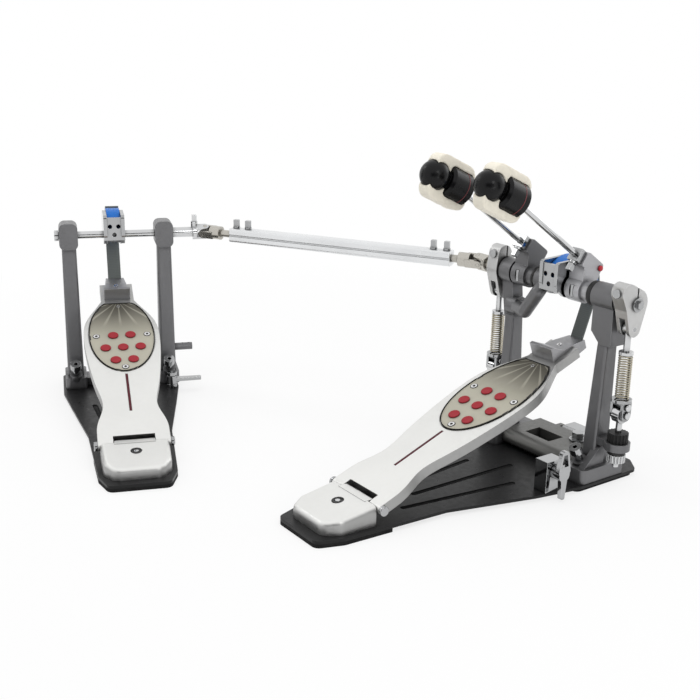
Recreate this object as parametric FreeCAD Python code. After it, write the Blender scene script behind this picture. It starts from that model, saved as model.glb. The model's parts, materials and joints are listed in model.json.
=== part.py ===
import FreeCAD, Part
import math
import os

# A double bass drum pedal: a main pedal with two beaters, a slave pedal and the drive shaft between them.
# Millimetres, +Z up, +Y to the drum, +X along the main axle.
# The origin is on the floor under the middle of the main axle.

V = FreeCAD.Vector
AXIS_X = V(1, 0, 0)
AXIS_Y = V(0, 1, 0)
AXIS_Z = V(0, 0, 1)

# Stance of the two pedals
axle_height = 196.0
hinge_back = 256.8
hinge_height = 22.3
toe_drop = 70.49
slave_x = -473.6
slave_y = -286.1
slave_yaw_deg = 69.2

# Clearances shared by all fits
pin_gap = 0.05
run_gap = 0.4
overrun = 3.0

# Floor pads and base plates
pad_thick = 4.0
pad_inset = 3.0
heel_pad_front = 248.0
front_pad_back = 40.0
plate_thick = 3.0
plate_corner = 8.0
plate_back = 326.5
heel_tip_half = 31.0
heel_wide_half = 40.0
heel_wide_back = 300.0
plate_waist_half = 46.0
plate_waist_back = 185.0
plate_flare_back = 90.0
plate_shoulder_back = 35.0
plate_flare_share = 0.88
plate_nose_share = 0.75
main_plate_half = 80.0
main_plate_front = 62.0
slave_plate_half = 70.0
slave_plate_front = 45.0
groove_width = 6.0
groove_depth = 1.0
middle_groove_back = 189.0
middle_groove_front = 58.0
side_groove_back = 217.0
side_groove_front = 88.0
side_groove_back_x = 19.0
side_groove_front_x = 35.0

# Heel plate, its bolt and the hinge pin
heel_front_half = 36.5
heel_mid_half = 34.5
heel_mid_back = 300.0
heel_end_half = 24.5
heel_end_back = 316.0
heel_corner = 12.0
heel_edge_round = 5.0
heel_top_drop = 8.0
tongue_half = 21.2
heel_bolt_back = 280.6
heel_bolt_head_radius = 6.0
heel_bolt_head_deep = 3.0
heel_bolt_shank_radius = 3.5
heel_bolt_socket = 2.8
hinge_pin_radius = 2.6
pin_head_radius = 5.0
pin_head_long = 3.8

# Footboard, in its own frame: x across, y along the board from the hinge, z square to it
board_top = 4.7
board_deep = 11.0
board_skin = 4.0
board_wall = 4.0
board_length = 288.0
board_slope_deg = math.degrees(math.asin((axle_height - toe_drop - hinge_height) / board_length))
board_half = 43.6
board_side_gap = 0.6
board_station_shares = ((0.056, 0.865), (0.122, 0.798), (0.1875, 0.677), (0.306, 0.771), (0.444, 0.913),
                        (0.556, 0.984), (0.642, 1.0), (0.729, 0.924), (0.806, 0.695), (0.878, 0.45))
notch_front = 9.0
stripe_back = 47.6
stripe_front = 111.3
stripe_width = 3.0
stripe_deep = 0.6
rib_thick = 3.0
rib_place_shares = (0.25, 0.42, 0.58)

# Oval grip plate with its studs and screws
oval_middle = 182.0
oval_half = 37.6
oval_back_long = 66.0
oval_front_long = 72.5
oval_front = 247.0
oval_gap = 0.9
oval_recess = 1.2
grip_thick = 1.5
stud_radius = 6.0
stud_tall = 1.6
stud_row = 23.06
stud_pitch = 19.9
stud_middle = 159.3
screw_radius = 3.4
screw_tall = 0.6
screw_socket = 1.3
low_screw_along = 123.4
side_screw_along = 182.4
side_screw_half = 29.3
top_screw_inset = 7.0
top_screw_along = oval_front - top_screw_inset
top_screw_radius = 2.2

# Toe block and belt
toe_block_inset = 32.5
toe_nose_long = 19.0
toe_block_back = board_length - toe_block_inset
toe_block_front = board_length + toe_nose_long
toe_block_back_half = 15.5
toe_block_front_half = 11.0
toe_block_tall = 16.0
toe_crest_long = 3.5
toe_slope_long = 15.0
toe_top_tall = 4.0
toe_end_tall = 2.0
toe_nose_deep = 10.0
toe_nose_drop = 2.0
belt_width = 16.0
belt_thick = 2.2
belt_radius = 34.0
belt_start_deg = 75.0
belt_end_reach = 12.7
belt_end_along = board_length + belt_end_reach
belt_end_up = -5.3
belt_slot_gap = 0.15
belt_screw_radius = 2.6
belt_screw_tall = 1.6
belt_screw_inset = 7.0
belt_screw_along = board_length - belt_screw_inset

# Axles, bearings and posts of the main pedal
axle_radius = 6.0
housing_radius = 13.5
right_housing_x0 = 50.0
right_housing_x1 = 78.0
left_housing_x0 = -81.5
left_housing_x1 = -65.5
hook_head_x0 = -31.0
hook_head_x1 = -14.5
hook_head_radius = 12.0
hook_arm_radius = 7.5
axle_end_gap = 1.0
collar_radius = 12.5
collar_gap = 0.5
post_top_wide = 13.0
post_foot_wide = 18.0
post_top_deep = 17.0
post_foot_deep = 24.0
post_edge = 3.0
right_post_top_x = 66.0
right_post_foot_x = 62.0
left_post_top_x = -67.0
left_post_foot_x = -65.0
hook_root = V(left_post_top_x, -2.0, -36.0)
hook_bend = V(-39.0, -12.0, -36.0)
hook_rise = V(-23.0, -11.0, -12.0)
boss_x0 = 52.0
boss_x1 = 78.0
boss_half_deep = 10.0
boss_drop = 47.0
boss_taper = 12.0
left_neck_drop = 50.0
left_neck_low_half = 7.0
left_neck_deep = 7.5
hook_boss_radius = 10.5

# Feet and cross casting of the main pedal
foot_tall = 15.0
right_foot_x0 = 51.0
right_foot_x1 = 79.0
left_foot_x0 = -78.0
left_foot_x1 = -50.0
foot_back = 34.0
foot_front = 30.0
foot_corner = 6.0
foot_rib_thick = 8.0
foot_rib_rise = 26.0
deck_back = 14.0
deck_front = 36.0
deck_tall = 18.0
deck_bar_radius = 9.0
pocket_x0 = -30.0
pocket_x1 = 6.0
pocket_back = 8.0
pocket_front = 14.0
pocket_deep = 12.0
deck_bolt_x = 20.0
deck_bolt_y = 22.0
deck_bolt_radius = 7.0
deck_bolt_tall = 7.5
deck_washer_radius = 9.5
deck_washer_thick = 1.6
spur_tilt_deg = 28.0
spur_back = 22.0
spur_boss_radius = 7.5
spur_boss_long = 15.0
spur_shank_radius = 4.0
spur_shank_long = 9.0
spur_head_radius = 6.5
spur_head_long = 8.0
spur_socket = 2.6

# Beaters, in their own frame about the axle: x along it, y to the striking side, z up the rod
beater_tilt_deg = 55.4
right_rod_x = 24.0
left_rod_x = -54.0
holder_half = 9.5
holder_neck_long = 10.0
holder_neck_radius = 10.5
holder_hub_radius = 13.0
holder_web_half = 9.0
rod_offset = 24.5
rod_radius = 3.2
holder_block_half = 8.0
holder_low = 5.0
holder_high = 24.0
clamp_long = 7.0
clamp_half = 6.8
key_collar_radius = 4.2
key_collar_long = 2.5
key_head = 5.6
key_head_long = 8.0
slot_bolt_radius = 2.4
slot_bolt_long = 12.0
rod_low = 9.0
head_low = 133.0
head_offset = -4.0
head_tilt_deg = 10.0
band_radius = 17.0
band_long = 30.5
band_edge = 2.5
waist_radius = 11.0
waist_long = 4.5
dome_radius = 15.0
head_seat = 12.0
felt_reach = 23.0
felt_half = 8.0
felt_inner = 7.0
felt_overhang = 2.0
felt_front_gap = 6.5
felt_round = 10.5

# Cam with its carrier
cam_half = 8.0
cam_centre_y = 12.0
cam_centre_up = -4.0
cheek_gap = 0.3
cheek_thick = 4.2
cam_hub_radius = 11.0
cam_start_deg = -25.0
cam_sweep_deg = 158.0
carrier_rear = 21.0
carrier_plate = 3.0
carrier_low = 8.0
carrier_high = 22.0
carrier_plate_high = 24.0
carrier_corner = 4.0
carrier_outline_shares = ((-1.05, 0.05), (-1.05, 1.2), (-0.57, 1.22), (0.48, 1.27), (1.7, 0.73),
                          (1.9, -0.18), (0.67, -0.68), (-0.48, -0.45))
carrier_hole_radius = 2.6
carrier_hole_places = ((0.0, 3.0), (-5.0, 13.0), (5.0, 13.0))

# Rockers and their spring linkage
rocker_thick = 15.0
right_rocker_gap = 5.0
left_rocker_gap = 2.0
rocker_hub_radius = 15.0
rocker_boss_radius = 9.5
rocker_boss_reach = 17.0
right_boss_deg = 135.0
left_boss_deg = 100.0
rocker_arm_radius = 8.0
rocker_arm_reach = 25.0
rocker_slit = 2.0
fork_slot = 7.4
fork_top = 14.0
link_pin_radius = 2.5
link_pin_gap = 0.15
rocker_cap_radius = 7.0
rocker_cap_long = 2.0
rocker_cap_hex = 4.2
rocker_cap_hex_long = 3.0
boss_bolt_radius = 4.4
boss_bolt_long = 4.0
stirrup_thick = 6.0
stirrup_eye_radius = 6.0
stirrup_neck = 3.4
cap_radius = 7.3
cap_thick = 3.0
spring_top = 52.0
spring_foot = 98.0
spring_long = axle_height - spring_top - spring_foot
spring_wire_radius = 0.8
spring_stub = 1.6
spring_pitch = 2.2
spring_turns = round((spring_long - 4 * spring_stub) / spring_pitch)
spring_mean_radius = 6.4
lower_pivot_drop = 16.0
link_half = 8.0
link_cheek = 3.0
link_back = 6.5
eye_radius = 8.5
eye_hole_radius = 5.5
eye_drop = 0.9
eye_thick = 9.0
tension_rod_radius = 3.2
tension_rod_low = 25.0
ear_low = 44.0
ear_thick = 8.0
ear_radius = 13.0
ear_root_half = 8.0
knob_radius = 10.5
knob_tall = 10.0
knob_flutes = 18
knob_flute_radius = 0.9
ring_radius = 8.5
ring_tall = 5.0
lock_radius = 9.5
lock_tall = 8.0

# Hoop clamp at the front of the main pedal
jaw_half = 20.0
jaw_pivot_y = 43.0
jaw_pivot_up = 11.5
jaw_pin_radius = 3.0
jaw_eye_radius = 6.5
jaw_reach = 19.0
jaw_thick = 5.0
jaw_lip = 4.5
jaw_ear_thick = 6.0
lever_back = 68.0
lever_height = 29.0
lever_bracket_x0 = 56.0
lever_bracket_x1 = 72.0
lever_bracket_half = 11.0
lever_bracket_tall = 33.0
lever_shaft_radius = 4.0
lever_hub_radius = 7.0
lever_hub_long = 8.0
lever_wing_thick = 5.0
lever_up = 25.0
lever_down = 26.0
lever_wing_wide = 9.0
lever_loop_wide = 17.0
lever_loop_wall = 3.6

# Cardan joints and drive shaft
main_joint_x = -126.6
slave_joint_x = 111.2
joint_mid_travel_deg = 25.0
fork_ear_near = 5.3
fork_ear_far = 8.2
fork_ear_radius = 4.8
fork_base_near = 10.5
fork_base_far = 15.0
fork_base_radius = 8.2
cross_pin_radius = 2.1
cross_ball_radius = 3.9
open_pin_gap = 0.2
fork_neck_long = 9.0
fork_neck_radius = 8.2
inner_rod_radius = 4.4
inner_rod_long = 75.0
tube_slave_inset = 40.0
tube_main_inset = 33.0
tube_half = 8.5
tube_edge = 3.0
tube_groove = 1.2
key_near = 6.0
key_pitch = 16.0

# Slave pedal posts, axle and feet
slave_left_post_x = -54.0
slave_right_post_x = 60.0
slave_head_wide = 22.0
slave_head_tall = 32.0
slave_head_deep = 26.0
slave_head_edge = 7.0
slave_post_top_wide = 17.0
slave_post_foot_wide = 20.0
slave_post_top_deep = 17.0
slave_post_foot_deep = 26.0
slave_axle_radius = 4.5
slave_axle_cap_radius = 6.5
slave_axle_cap_long = 5.0
slave_neck_radius = 6.2
slave_key_x = 98.4
peg_height = 48.0
peg_long = 22.0
peg_radius = 4.6
peg_hole = 1.6
peg_near_share = 0.45
peg_far_share = 0.8
slave_foot_wide = 26.0
slave_foot_back = 24.0
slave_foot_front = 26.0
slave_foot_tall = 14.0
slave_bar_back = 12.0
slave_bar_front = 14.0
slave_bar_tall = 10.0
wing_x = 62.0
wing_back = 38.0
wing_stud_radius = 3.5
wing_hub_radius = 6.0
wing_low = 12.0
wing_high = 22.0
wing_head_tall = 4.0
wing_blade_long = 36.0
wing_blade_half = 4.5
wing_tip_half = 3.4
wing_blade_thick = 4.0

plate_top = pad_thick + plate_thick
ear_radius_board = board_top


def box(x0, x1, y0, y1, z0, z1):
    """A block between two corners."""
    return Part.makeBox(x1 - x0, y1 - y0, z1 - z0, V(x0, y0, z0))


def rod_x(radius, x0, x1, y=0.0, z=0.0):
    """A round bar along X."""
    return Part.makeCylinder(radius, x1 - x0, V(x0, y, z), AXIS_X)


def rod_y(radius, y0, y1, x=0.0, z=0.0):
    """A round bar along Y."""
    return Part.makeCylinder(radius, y1 - y0, V(x, y0, z), AXIS_Y)


def rod_z(radius, z0, z1, x=0.0, y=0.0):
    """A round bar along Z."""
    return Part.makeCylinder(radius, z1 - z0, V(x, y, z0), AXIS_Z)


def bar(radius, start, end):
    """A round bar between two points."""
    run = end - start
    return Part.makeCylinder(radius, run.Length, start, run)


def fuse(*shapes):
    """One solid from several that meet."""
    return shapes[0].multiFuse(list(shapes[1:])).removeSplitter()


def cut(shape, *tools):
    """A shape less its tools."""
    return shape.cut(list(tools))


def rounded_wire(points, radius):
    """A closed outline through points with each corner rounded by an arc."""
    edges = []
    starts = []
    count = len(points)
    for i in range(count):
        before = points[i - 1]
        here = points[i]
        after = points[(i + 1) % count]
        to_before = (before - here).normalize()
        to_after = (after - here).normalize()
        half_angle = to_before.getAngle(to_after) / 2
        setback = radius / math.tan(half_angle)
        middle = (to_before + to_after).normalize()
        arc_mid = here + middle * (radius / math.sin(half_angle) - radius)
        starts.append((here + to_before * setback, arc_mid, here + to_after * setback))
    for i in range(count):
        first, mid, last = starts[i]
        edges.append(Part.Arc(first, mid, last).toShape())
        edges.append(Part.LineSegment(last, starts[(i + 1) % count][0]).toShape())
    return Part.Wire(edges)


def polygon(points):
    """A closed outline with sharp corners."""
    return Part.makePolygon(list(points) + [points[0]])


def prism(wire, run):
    """A flat outline drawn out along a vector."""
    return Part.Face(wire).extrude(run)


def plan(points, z0, z1, radius=0.0):
    """A plate with an outline of (x, y) points."""
    corners = [V(x, y, z0) for x, y in points]
    wire = rounded_wire(corners, radius) if radius else polygon(corners)
    return prism(wire, V(0, 0, z1 - z0))


def profile(points, x0, x1, radius=0.0):
    """A bar along X with an outline of (y, z) points."""
    corners = [V(x0, y, z) for y, z in points]
    wire = rounded_wire(corners, radius) if radius else polygon(corners)
    return prism(wire, V(x1 - x0, 0, 0))


def rounded_rectangle(half_wide, half_deep, centre, radius):
    """A level rectangle with rounded corners."""
    corners = []
    for sx, sy in ((-1, -1), (1, -1), (1, 1), (-1, 1)):
        corners.append(centre + V(sx * half_wide, sy * half_deep, 0))
    return rounded_wire(corners, radius)


def hexagon(radius, centre, direction, long):
    """A hexagonal bar from a point along a direction."""
    turn = FreeCAD.Rotation(AXIS_Z, direction)
    corners = []
    for i in range(6):
        angle = math.radians(60 * i)
        corners.append(centre + turn.multVec(V(radius * math.cos(angle), radius * math.sin(angle), 0)))
    return prism(polygon(corners), V(direction).normalize() * long)


def link_outline(first, first_radius, second, second_radius, x0, x1):
    """Two round bars along X with the flanks that touch both, from (y, z) centres."""
    gap_y = second[0] - first[0]
    gap_z = second[1] - first[1]
    reach = math.hypot(gap_y, gap_z)
    heading = math.atan2(gap_z, gap_y)
    swing = math.acos((first_radius - second_radius) / reach)
    corners = []
    for centre, radius, side in ((first, first_radius, 1), (second, second_radius, 1),
                                 (second, second_radius, -1), (first, first_radius, -1)):
        angle = heading + side * swing
        corners.append((centre[0] + radius * math.cos(angle), centre[1] + radius * math.sin(angle)))
    return fuse(rod_x(first_radius, x0, x1, *first), rod_x(second_radius, x0, x1, *second),
                profile(corners, x0, x1))


def mirror_x(shape):
    """The same shape on the other side of the middle plane."""
    return shape.mirror(V(0, 0, 0), AXIS_X)


def on_board(shape):
    """From the footboard's own frame to its place on the heel hinge."""
    placed = shape.copy()
    placed.rotate(V(0, 0, 0), AXIS_X, board_slope_deg)
    placed.translate(V(0, -hinge_back, hinge_height))
    return placed


def on_beater(shape):
    """From a beater's own frame to its place on the axle at rest."""
    placed = shape.copy()
    placed.rotate(V(0, 0, 0), AXIS_X, beater_tilt_deg)
    placed.translate(V(0, 0, axle_height))
    return placed


def on_axle(shape):
    """From a frame about the axle to its height."""
    placed = shape.copy()
    placed.translate(V(0, 0, axle_height))
    return placed


def as_slave(shape):
    """From a pedal's own frame to the slave pedal's place on the floor."""
    placed = shape.copy()
    placed.rotate(V(0, 0, 0), AXIS_Z, slave_yaw_deg)
    placed.translate(V(slave_x, slave_y, 0))
    return placed


def slave_direction(vector):
    """A direction of the slave pedal's own frame in the shared frame."""
    return FreeCAD.Rotation(AXIS_Z, slave_yaw_deg).multVec(vector)


# Floor pads and base plate

def plate_points(front_half, front):
    """The plan outline of a base plate, right side from heel to front, then the left side back."""
    right = [(heel_tip_half, -plate_back), (heel_wide_half, -heel_wide_back),
             (plate_waist_half, -plate_waist_back), (front_half * plate_flare_share, -plate_flare_back),
             (front_half, -plate_shoulder_back), (front_half, front * plate_nose_share),
             (front_half * plate_nose_share, front)]
    left = [(-x, y) for x, y in reversed(right)]
    return right + left


def groove(start, end):
    """A long round-ended groove in the plate's top."""
    first = V(start[0], start[1], plate_top - groove_depth)
    last = V(end[0], end[1], plate_top - groove_depth)
    run = last - first
    side = AXIS_Z.cross(run).normalize() * (groove_width / 2)
    tip = V(run).normalize() * (groove_width / 2)
    edges = [Part.LineSegment(first - side, last - side).toShape(),
             Part.Arc(last - side, last + tip, last + side).toShape(),
             Part.LineSegment(last + side, first + side).toShape(),
             Part.Arc(first + side, first - tip, first - side).toShape()]
    return prism(Part.Wire(edges), V(0, 0, groove_depth + overrun))


def base_plate(front_half, front):
    """The steel floor plate with its three pressed grooves."""
    plate = plan(plate_points(front_half, front), pad_thick, plate_top, plate_corner)
    side = groove((side_groove_back_x, -side_groove_back), (side_groove_front_x, -side_groove_front))
    middle = groove((0, -middle_groove_back), (0, -middle_groove_front))
    return cut(plate, middle, side, mirror_x(side))


def floor_pads(front_half, front):
    """Rubber under the heel and under the front of a base plate."""
    sheet = plan(plate_points(front_half, front), 0.0, pad_thick, plate_corner)
    heel = sheet.common(box(-front_half, front_half, -plate_back, -heel_pad_front, 0.0, pad_thick))
    front_half_in = front_half - pad_inset
    front_points = [(-front_half_in, -front_pad_back), (front_half_in, -front_pad_back),
                    (front_half_in, front * plate_nose_share - pad_inset),
                    (front_half_in * plate_nose_share, front - pad_inset),
                    (-front_half_in * plate_nose_share, front - pad_inset),
                    (-front_half_in, front * plate_nose_share - pad_inset)]
    return Part.makeCompound([heel, plan(front_points, 0.0, pad_thick, plate_corner)])


# Heel plate, hinge pin and heel bolt

def heel_body_front():
    """Where the heel plate stops behind the footboard's hinge ears."""
    return hinge_back + ear_radius_board + board_side_gap


def heel_slope():
    """How fast the heel plate's top falls towards the heel."""
    return heel_top_drop / (heel_end_back - heel_body_front())


def heel_body():
    """The heel plate's body: a rounded plan with a sloping top and a soft rim."""
    front = heel_body_front()
    top = hinge_height + board_top
    right = [(heel_front_half, 2 * heel_corner - front), (heel_mid_half, -heel_mid_back),
             (heel_end_half, -heel_end_back)]
    outline = plan(right + [(-x, y) for x, y in reversed(right)], plate_top, top, heel_corner)
    side = profile(((-front, plate_top), (-front, top), (-heel_end_back, top - heel_top_drop),
                    (-heel_end_back, plate_top)), -heel_front_half, heel_front_half)
    body = outline.common(side)
    rim = [e for e in body.Edges if e.BoundBox.ZMin > plate_top + overrun
           and e.BoundBox.YMin < -front - overrun]
    return body.makeFillet(heel_edge_round, rim)


def heel_plate():
    """The cast heel plate: its body and the middle hinge tongue, bored for the pin and the bolt."""
    front = heel_body_front()
    top = hinge_height + board_top
    knuckle = rod_x(board_top, -tongue_half, tongue_half, -hinge_back, hinge_height)
    tongue = box(-tongue_half, tongue_half, -front - overrun, -hinge_back, hinge_height - board_top, top)
    plate = fuse(heel_body(), tongue, knuckle)
    pin_bore = rod_x(hinge_pin_radius, -board_half, board_half, -hinge_back, hinge_height)
    bolt_top = heel_bolt_top()
    head_bore = rod_z(heel_bolt_head_radius, bolt_top - heel_bolt_head_deep, top, 0.0, -heel_bolt_back)
    shank_bore = rod_z(heel_bolt_shank_radius, plate_top - overrun, top, 0.0, -heel_bolt_back)
    return cut(plate, pin_bore, head_bore, shank_bore)


def heel_bolt_top():
    """The height of the heel bolt's head on the sloping heel plate."""
    fall = heel_slope() * (heel_bolt_back + heel_bolt_head_radius - heel_body_front())
    return hinge_height + board_top - fall


def heel_bolt():
    """The bolt through the heel plate, with a hexagon socket."""
    top = heel_bolt_top()
    head = rod_z(heel_bolt_head_radius, top - heel_bolt_head_deep, top, 0.0, -heel_bolt_back)
    shank = rod_z(heel_bolt_shank_radius, plate_top, top - heel_bolt_head_deep, 0.0, -heel_bolt_back)
    socket = hexagon(heel_bolt_socket, V(0, -heel_bolt_back, top - heel_bolt_head_deep / 2), AXIS_Z, overrun)
    return cut(fuse(head, shank), socket)


def hinge_pin():
    """The heel hinge pin with its round heads outside the footboard's ears."""
    ear_end = board_half * board_station_shares[0][1] + run_gap
    pin = rod_x(hinge_pin_radius, -ear_end, ear_end, -hinge_back, hinge_height)
    heads = []
    for side in (-1, 1):
        inner = V(side * ear_end, -hinge_back, hinge_height)
        head = Part.makeCylinder(pin_head_radius, pin_head_long, inner, AXIS_X * side)
        rim = [e for e in head.Edges if abs(e.CenterOfMass.x) > ear_end + pin_head_long / 2]
        heads.append(head.makeFillet(pin_head_long / 3, [e for e in rim if len(e.Vertexes) == 1]))
    return fuse(pin, *heads)


# Footboard and what is on it

def board_outline(inset, back, z):
    """The footboard's waisted outline, drawn in by an inset, in its own frame."""
    right = []
    for along_share, half_share in board_station_shares:
        right.append(V(board_half * half_share - inset, board_length * along_share, z))
    toe = board_length - inset
    curve = Part.BSplineCurve()
    curve.interpolate(right)
    left = [V(-p.x, p.y, p.z) for p in reversed(right)]
    back_curve = Part.BSplineCurve()
    back_curve.interpolate(left)
    half_toe = right[-1].x
    half_heel = right[0].x
    edges = [Part.LineSegment(V(half_heel, back, z), right[0]).toShape(), curve.toShape(),
             Part.LineSegment(right[-1], V(half_toe, toe, z)).toShape(),
             Part.LineSegment(V(half_toe, toe, z), V(-half_toe, toe, z)).toShape(),
             Part.LineSegment(V(-half_toe, toe, z), left[0]).toShape(), back_curve.toShape(),
             Part.LineSegment(left[-1], V(-half_heel, back, z)).toShape(),
             Part.LineSegment(V(-half_heel, back, z), V(half_heel, back, z)).toShape()]
    return Part.Wire(edges)


def oval_outline(grow, z):
    """The grip plate's outline: an ellipse to the heel, a longer one to the toe, cut straight there."""
    half = oval_half + grow
    back_long = oval_back_long + grow
    front_long = oval_front_long + grow
    cut_along = oval_front + grow - oval_middle
    cut_half = half * math.sqrt(1 - (cut_along / front_long) ** 2)
    centre = V(0, oval_middle, z)
    back = Part.Ellipse(V(0, oval_middle - back_long, z), V(half, oval_middle, z), centre)
    front = Part.Ellipse(V(0, oval_middle + front_long, z), V(half, oval_middle, z), centre)
    east = V(half, oval_middle, z)
    west = V(-half, oval_middle, z)
    north_east = V(cut_half, oval_middle + cut_along, z)
    north_west = V(-cut_half, oval_middle + cut_along, z)
    edges = [ellipse_arc(back, west, east, -1), ellipse_arc(front, east, north_east, 1),
             Part.LineSegment(north_east, north_west).toShape(), ellipse_arc(front, north_west, west, 1)]
    return Part.Wire(Part.__sortEdges__(edges))


def ellipse_arc(ellipse, start, end, toward):
    """The part of an ellipse between two points, on the toe side (1) or the heel side (-1)."""
    first = ellipse.parameter(start)
    last = ellipse.parameter(end)
    full = 2 * math.pi
    for low, high in ((first, last), (last, first)):
        span = (high - low) % full
        middle = ellipse.value(low + span / 2)
        if span < math.pi + 1e-6 and (middle.y - ellipse.Center.y) * toward > 0:
            return Part.ArcOfEllipse(ellipse, low, low + span).toShape()
    raise ValueError("no such arc")


def board_ear(side):
    """One hinge ear of the footboard, round about the pin."""
    outer = board_half * board_station_shares[0][1]
    inner = tongue_half + board_side_gap
    return rod_x(ear_radius_board, min(side * inner, side * outer), max(side * inner, side * outer))


def footboard():
    """The cast footboard: skirted underneath, notched at the heel, recessed for the grip plate."""
    low = board_top - board_deep
    body = prism(board_outline(0.0, 0.0, low), V(0, 0, board_deep))
    body = fuse(body, board_ear(-1), board_ear(1))
    hollow = prism(board_outline(board_wall, notch_front + board_wall, low - overrun),
                   V(0, 0, board_deep - board_skin + overrun))
    for along_share in rib_place_shares:
        along = board_length * along_share
        rib = box(-board_half, board_half, along, along + rib_thick, low - overrun, board_top)
        hollow = hollow.cut(rib)
    notch_half = tongue_half + board_side_gap
    notch = box(-notch_half, notch_half, -board_deep, notch_front, low - overrun, board_top + overrun)
    recess = prism(oval_outline(oval_gap, board_top - oval_recess), V(0, 0, oval_recess + overrun))
    stripe = box(-stripe_width / 2, stripe_width / 2, stripe_back, stripe_front, board_top - stripe_deep,
                 board_top + overrun)
    bore = rod_x(hinge_pin_radius + pin_gap, -board_half, board_half)
    return cut(body, hollow, notch, recess, stripe, bore)


def grip_plate():
    """The oval plate let into the footboard."""
    floor = board_top - oval_recess
    return prism(oval_outline(0.0, floor), V(0, 0, grip_thick))


def grip_top():
    """The height of the grip plate's face."""
    return board_top - oval_recess + grip_thick


def stud_places():
    """The places of the grip studs: two, three and two in staggered rows."""
    places = []
    for row, count in ((-1, 2), (0, 3), (1, 2)):
        for i in range(count):
            places.append(((i - (count - 1) / 2) * stud_pitch, stud_middle + row * stud_row))
    return places


def grip_studs():
    """Low round studs with a chamfered edge."""
    studs = []
    for x, along in stud_places():
        stud = rod_z(stud_radius, grip_top(), grip_top() + stud_tall, x, along)
        middle = grip_top() + stud_tall / 2
        rim = [e for e in stud.Edges if e.CenterOfMass.z > middle and len(e.Vertexes) == 1]
        studs.append(stud.makeChamfer(stud_tall / 3, rim))
    return Part.makeCompound(studs)


def board_screws():
    """The grip plate's screws and the screw that clamps the belt."""
    places = ((0.0, low_screw_along, screw_radius), (side_screw_half, side_screw_along, screw_radius),
              (-side_screw_half, side_screw_along, screw_radius), (0.0, top_screw_along, top_screw_radius))
    screws = []
    for x, along, radius in places:
        head = rod_z(radius, grip_top(), grip_top() + screw_tall, x, along)
        socket = hexagon(screw_socket, V(x, along, grip_top()), AXIS_Z, overrun)
        screws.append(head.cut(socket))
    top = board_top + toe_end_tall
    head = rod_z(belt_screw_radius, top, top + belt_screw_tall, 0.0, belt_screw_along)
    socket_low = V(0, belt_screw_along, top + belt_screw_tall / 2)
    socket = hexagon(belt_screw_radius / 2, socket_low, AXIS_Z, overrun)
    screws.append(head.cut(socket))
    return Part.makeCompound(screws)


def toe_block():
    """The toe stop: an upright rear face, a slope to the toe and a nose that holds the belt's end."""
    crest = board_top + toe_block_tall
    plan_points = ((-toe_block_back_half, toe_block_back), (toe_block_back_half, toe_block_back),
                   (toe_block_front_half, toe_block_front), (-toe_block_front_half, toe_block_front))
    slab = plan(plan_points, board_top - board_deep - toe_nose_drop, crest)
    slope_end = toe_block_back + toe_crest_long + toe_slope_long
    nose_low = board_top - board_deep - toe_nose_drop
    side = profile(((toe_block_back, board_top), (toe_block_back, crest),
                    (toe_block_back + toe_crest_long, crest), (slope_end, board_top + toe_top_tall),
                    (board_length, board_top + toe_end_tall),
                    (toe_block_front, nose_low + toe_nose_deep), (toe_block_front, nose_low),
                    (board_length, nose_low), (board_length, board_top)),
                   -toe_block_back_half, toe_block_back_half)
    seat = rod_z(belt_screw_radius, board_top + toe_end_tall, crest, 0.0, belt_screw_along)
    return on_board(slab.common(side).cut(seat)).cut(belt_shape(belt_slot_gap))


def belt_end():
    """Where the belt ends inside the toe block, as (y, z)."""
    point = on_board(Part.Vertex(V(0, belt_end_along, belt_end_up))).Point
    return point.y, point.z


def belt_shape(grow):
    """The flat belt: an arc on the cam, then straight down to the toe block."""
    end_y, end_z = belt_end()
    drop = end_z - axle_height - cam_centre_up
    ahead = end_y - cam_centre_y
    inner = belt_radius - grow
    outer = belt_radius + belt_thick + grow
    middle = belt_radius + belt_thick / 2
    reach = math.hypot(ahead, drop)
    leave = math.atan2(drop, ahead) + math.acos(middle / reach)
    start = math.radians(belt_start_deg)
    centre = V(-belt_width / 2 - grow, cam_centre_y, axle_height + cam_centre_up)
    out = V(0, math.cos(leave), math.sin(leave))
    along = V(0, math.sin(leave), -math.cos(leave)) * math.sqrt(reach ** 2 - middle ** 2)

    def spoke(radius, angle):
        return centre + V(0, radius * math.cos(angle), radius * math.sin(angle))

    half_way = (start + leave) / 2
    tail = V(along).normalize() * grow
    inner_end = centre + out * inner + along + tail
    outer_end = centre + out * outer + along + tail
    edges = [Part.Arc(spoke(inner, start), spoke(inner, half_way), spoke(inner, leave)).toShape(),
             Part.LineSegment(spoke(inner, leave), inner_end).toShape(),
             Part.LineSegment(inner_end, outer_end).toShape(),
             Part.LineSegment(outer_end, spoke(outer, leave)).toShape(),
             Part.Arc(spoke(outer, leave), spoke(outer, half_way), spoke(outer, start)).toShape(),
             Part.LineSegment(spoke(outer, start), spoke(inner, start)).toShape()]
    return prism(Part.Wire(edges), V(belt_width + 2 * grow, 0, 0))


# Cam and carrier, shared by both pedals

def carrier(shaft_radius):
    """The open cam carrier: two cheeks, a pierced rear plate and the hub on the axle."""
    inner = cam_half + cheek_gap
    outer = inner + cheek_thick
    points = [(carrier_rear * y_share, carrier_high * z_share) for y_share, z_share in carrier_outline_shares]
    cheeks = [profile(points, inner, outer, carrier_corner), profile(points, -outer, -inner, carrier_corner)]
    hub = rod_x(cam_hub_radius, -outer, outer)
    plate = box(-outer, outer, -carrier_rear, carrier_plate - carrier_rear, -carrier_low / 2,
                carrier_plate_high)
    holes = []
    for x, z in carrier_hole_places:
        holes.append(rod_y(carrier_hole_radius, -carrier_rear - overrun,
                           -carrier_rear + carrier_plate + overrun, x, z))
    bore = rod_x(shaft_radius, -outer - overrun, outer + overrun)
    return on_axle(cut(fuse(hub, plate, *cheeks), bore, *holes))


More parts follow.
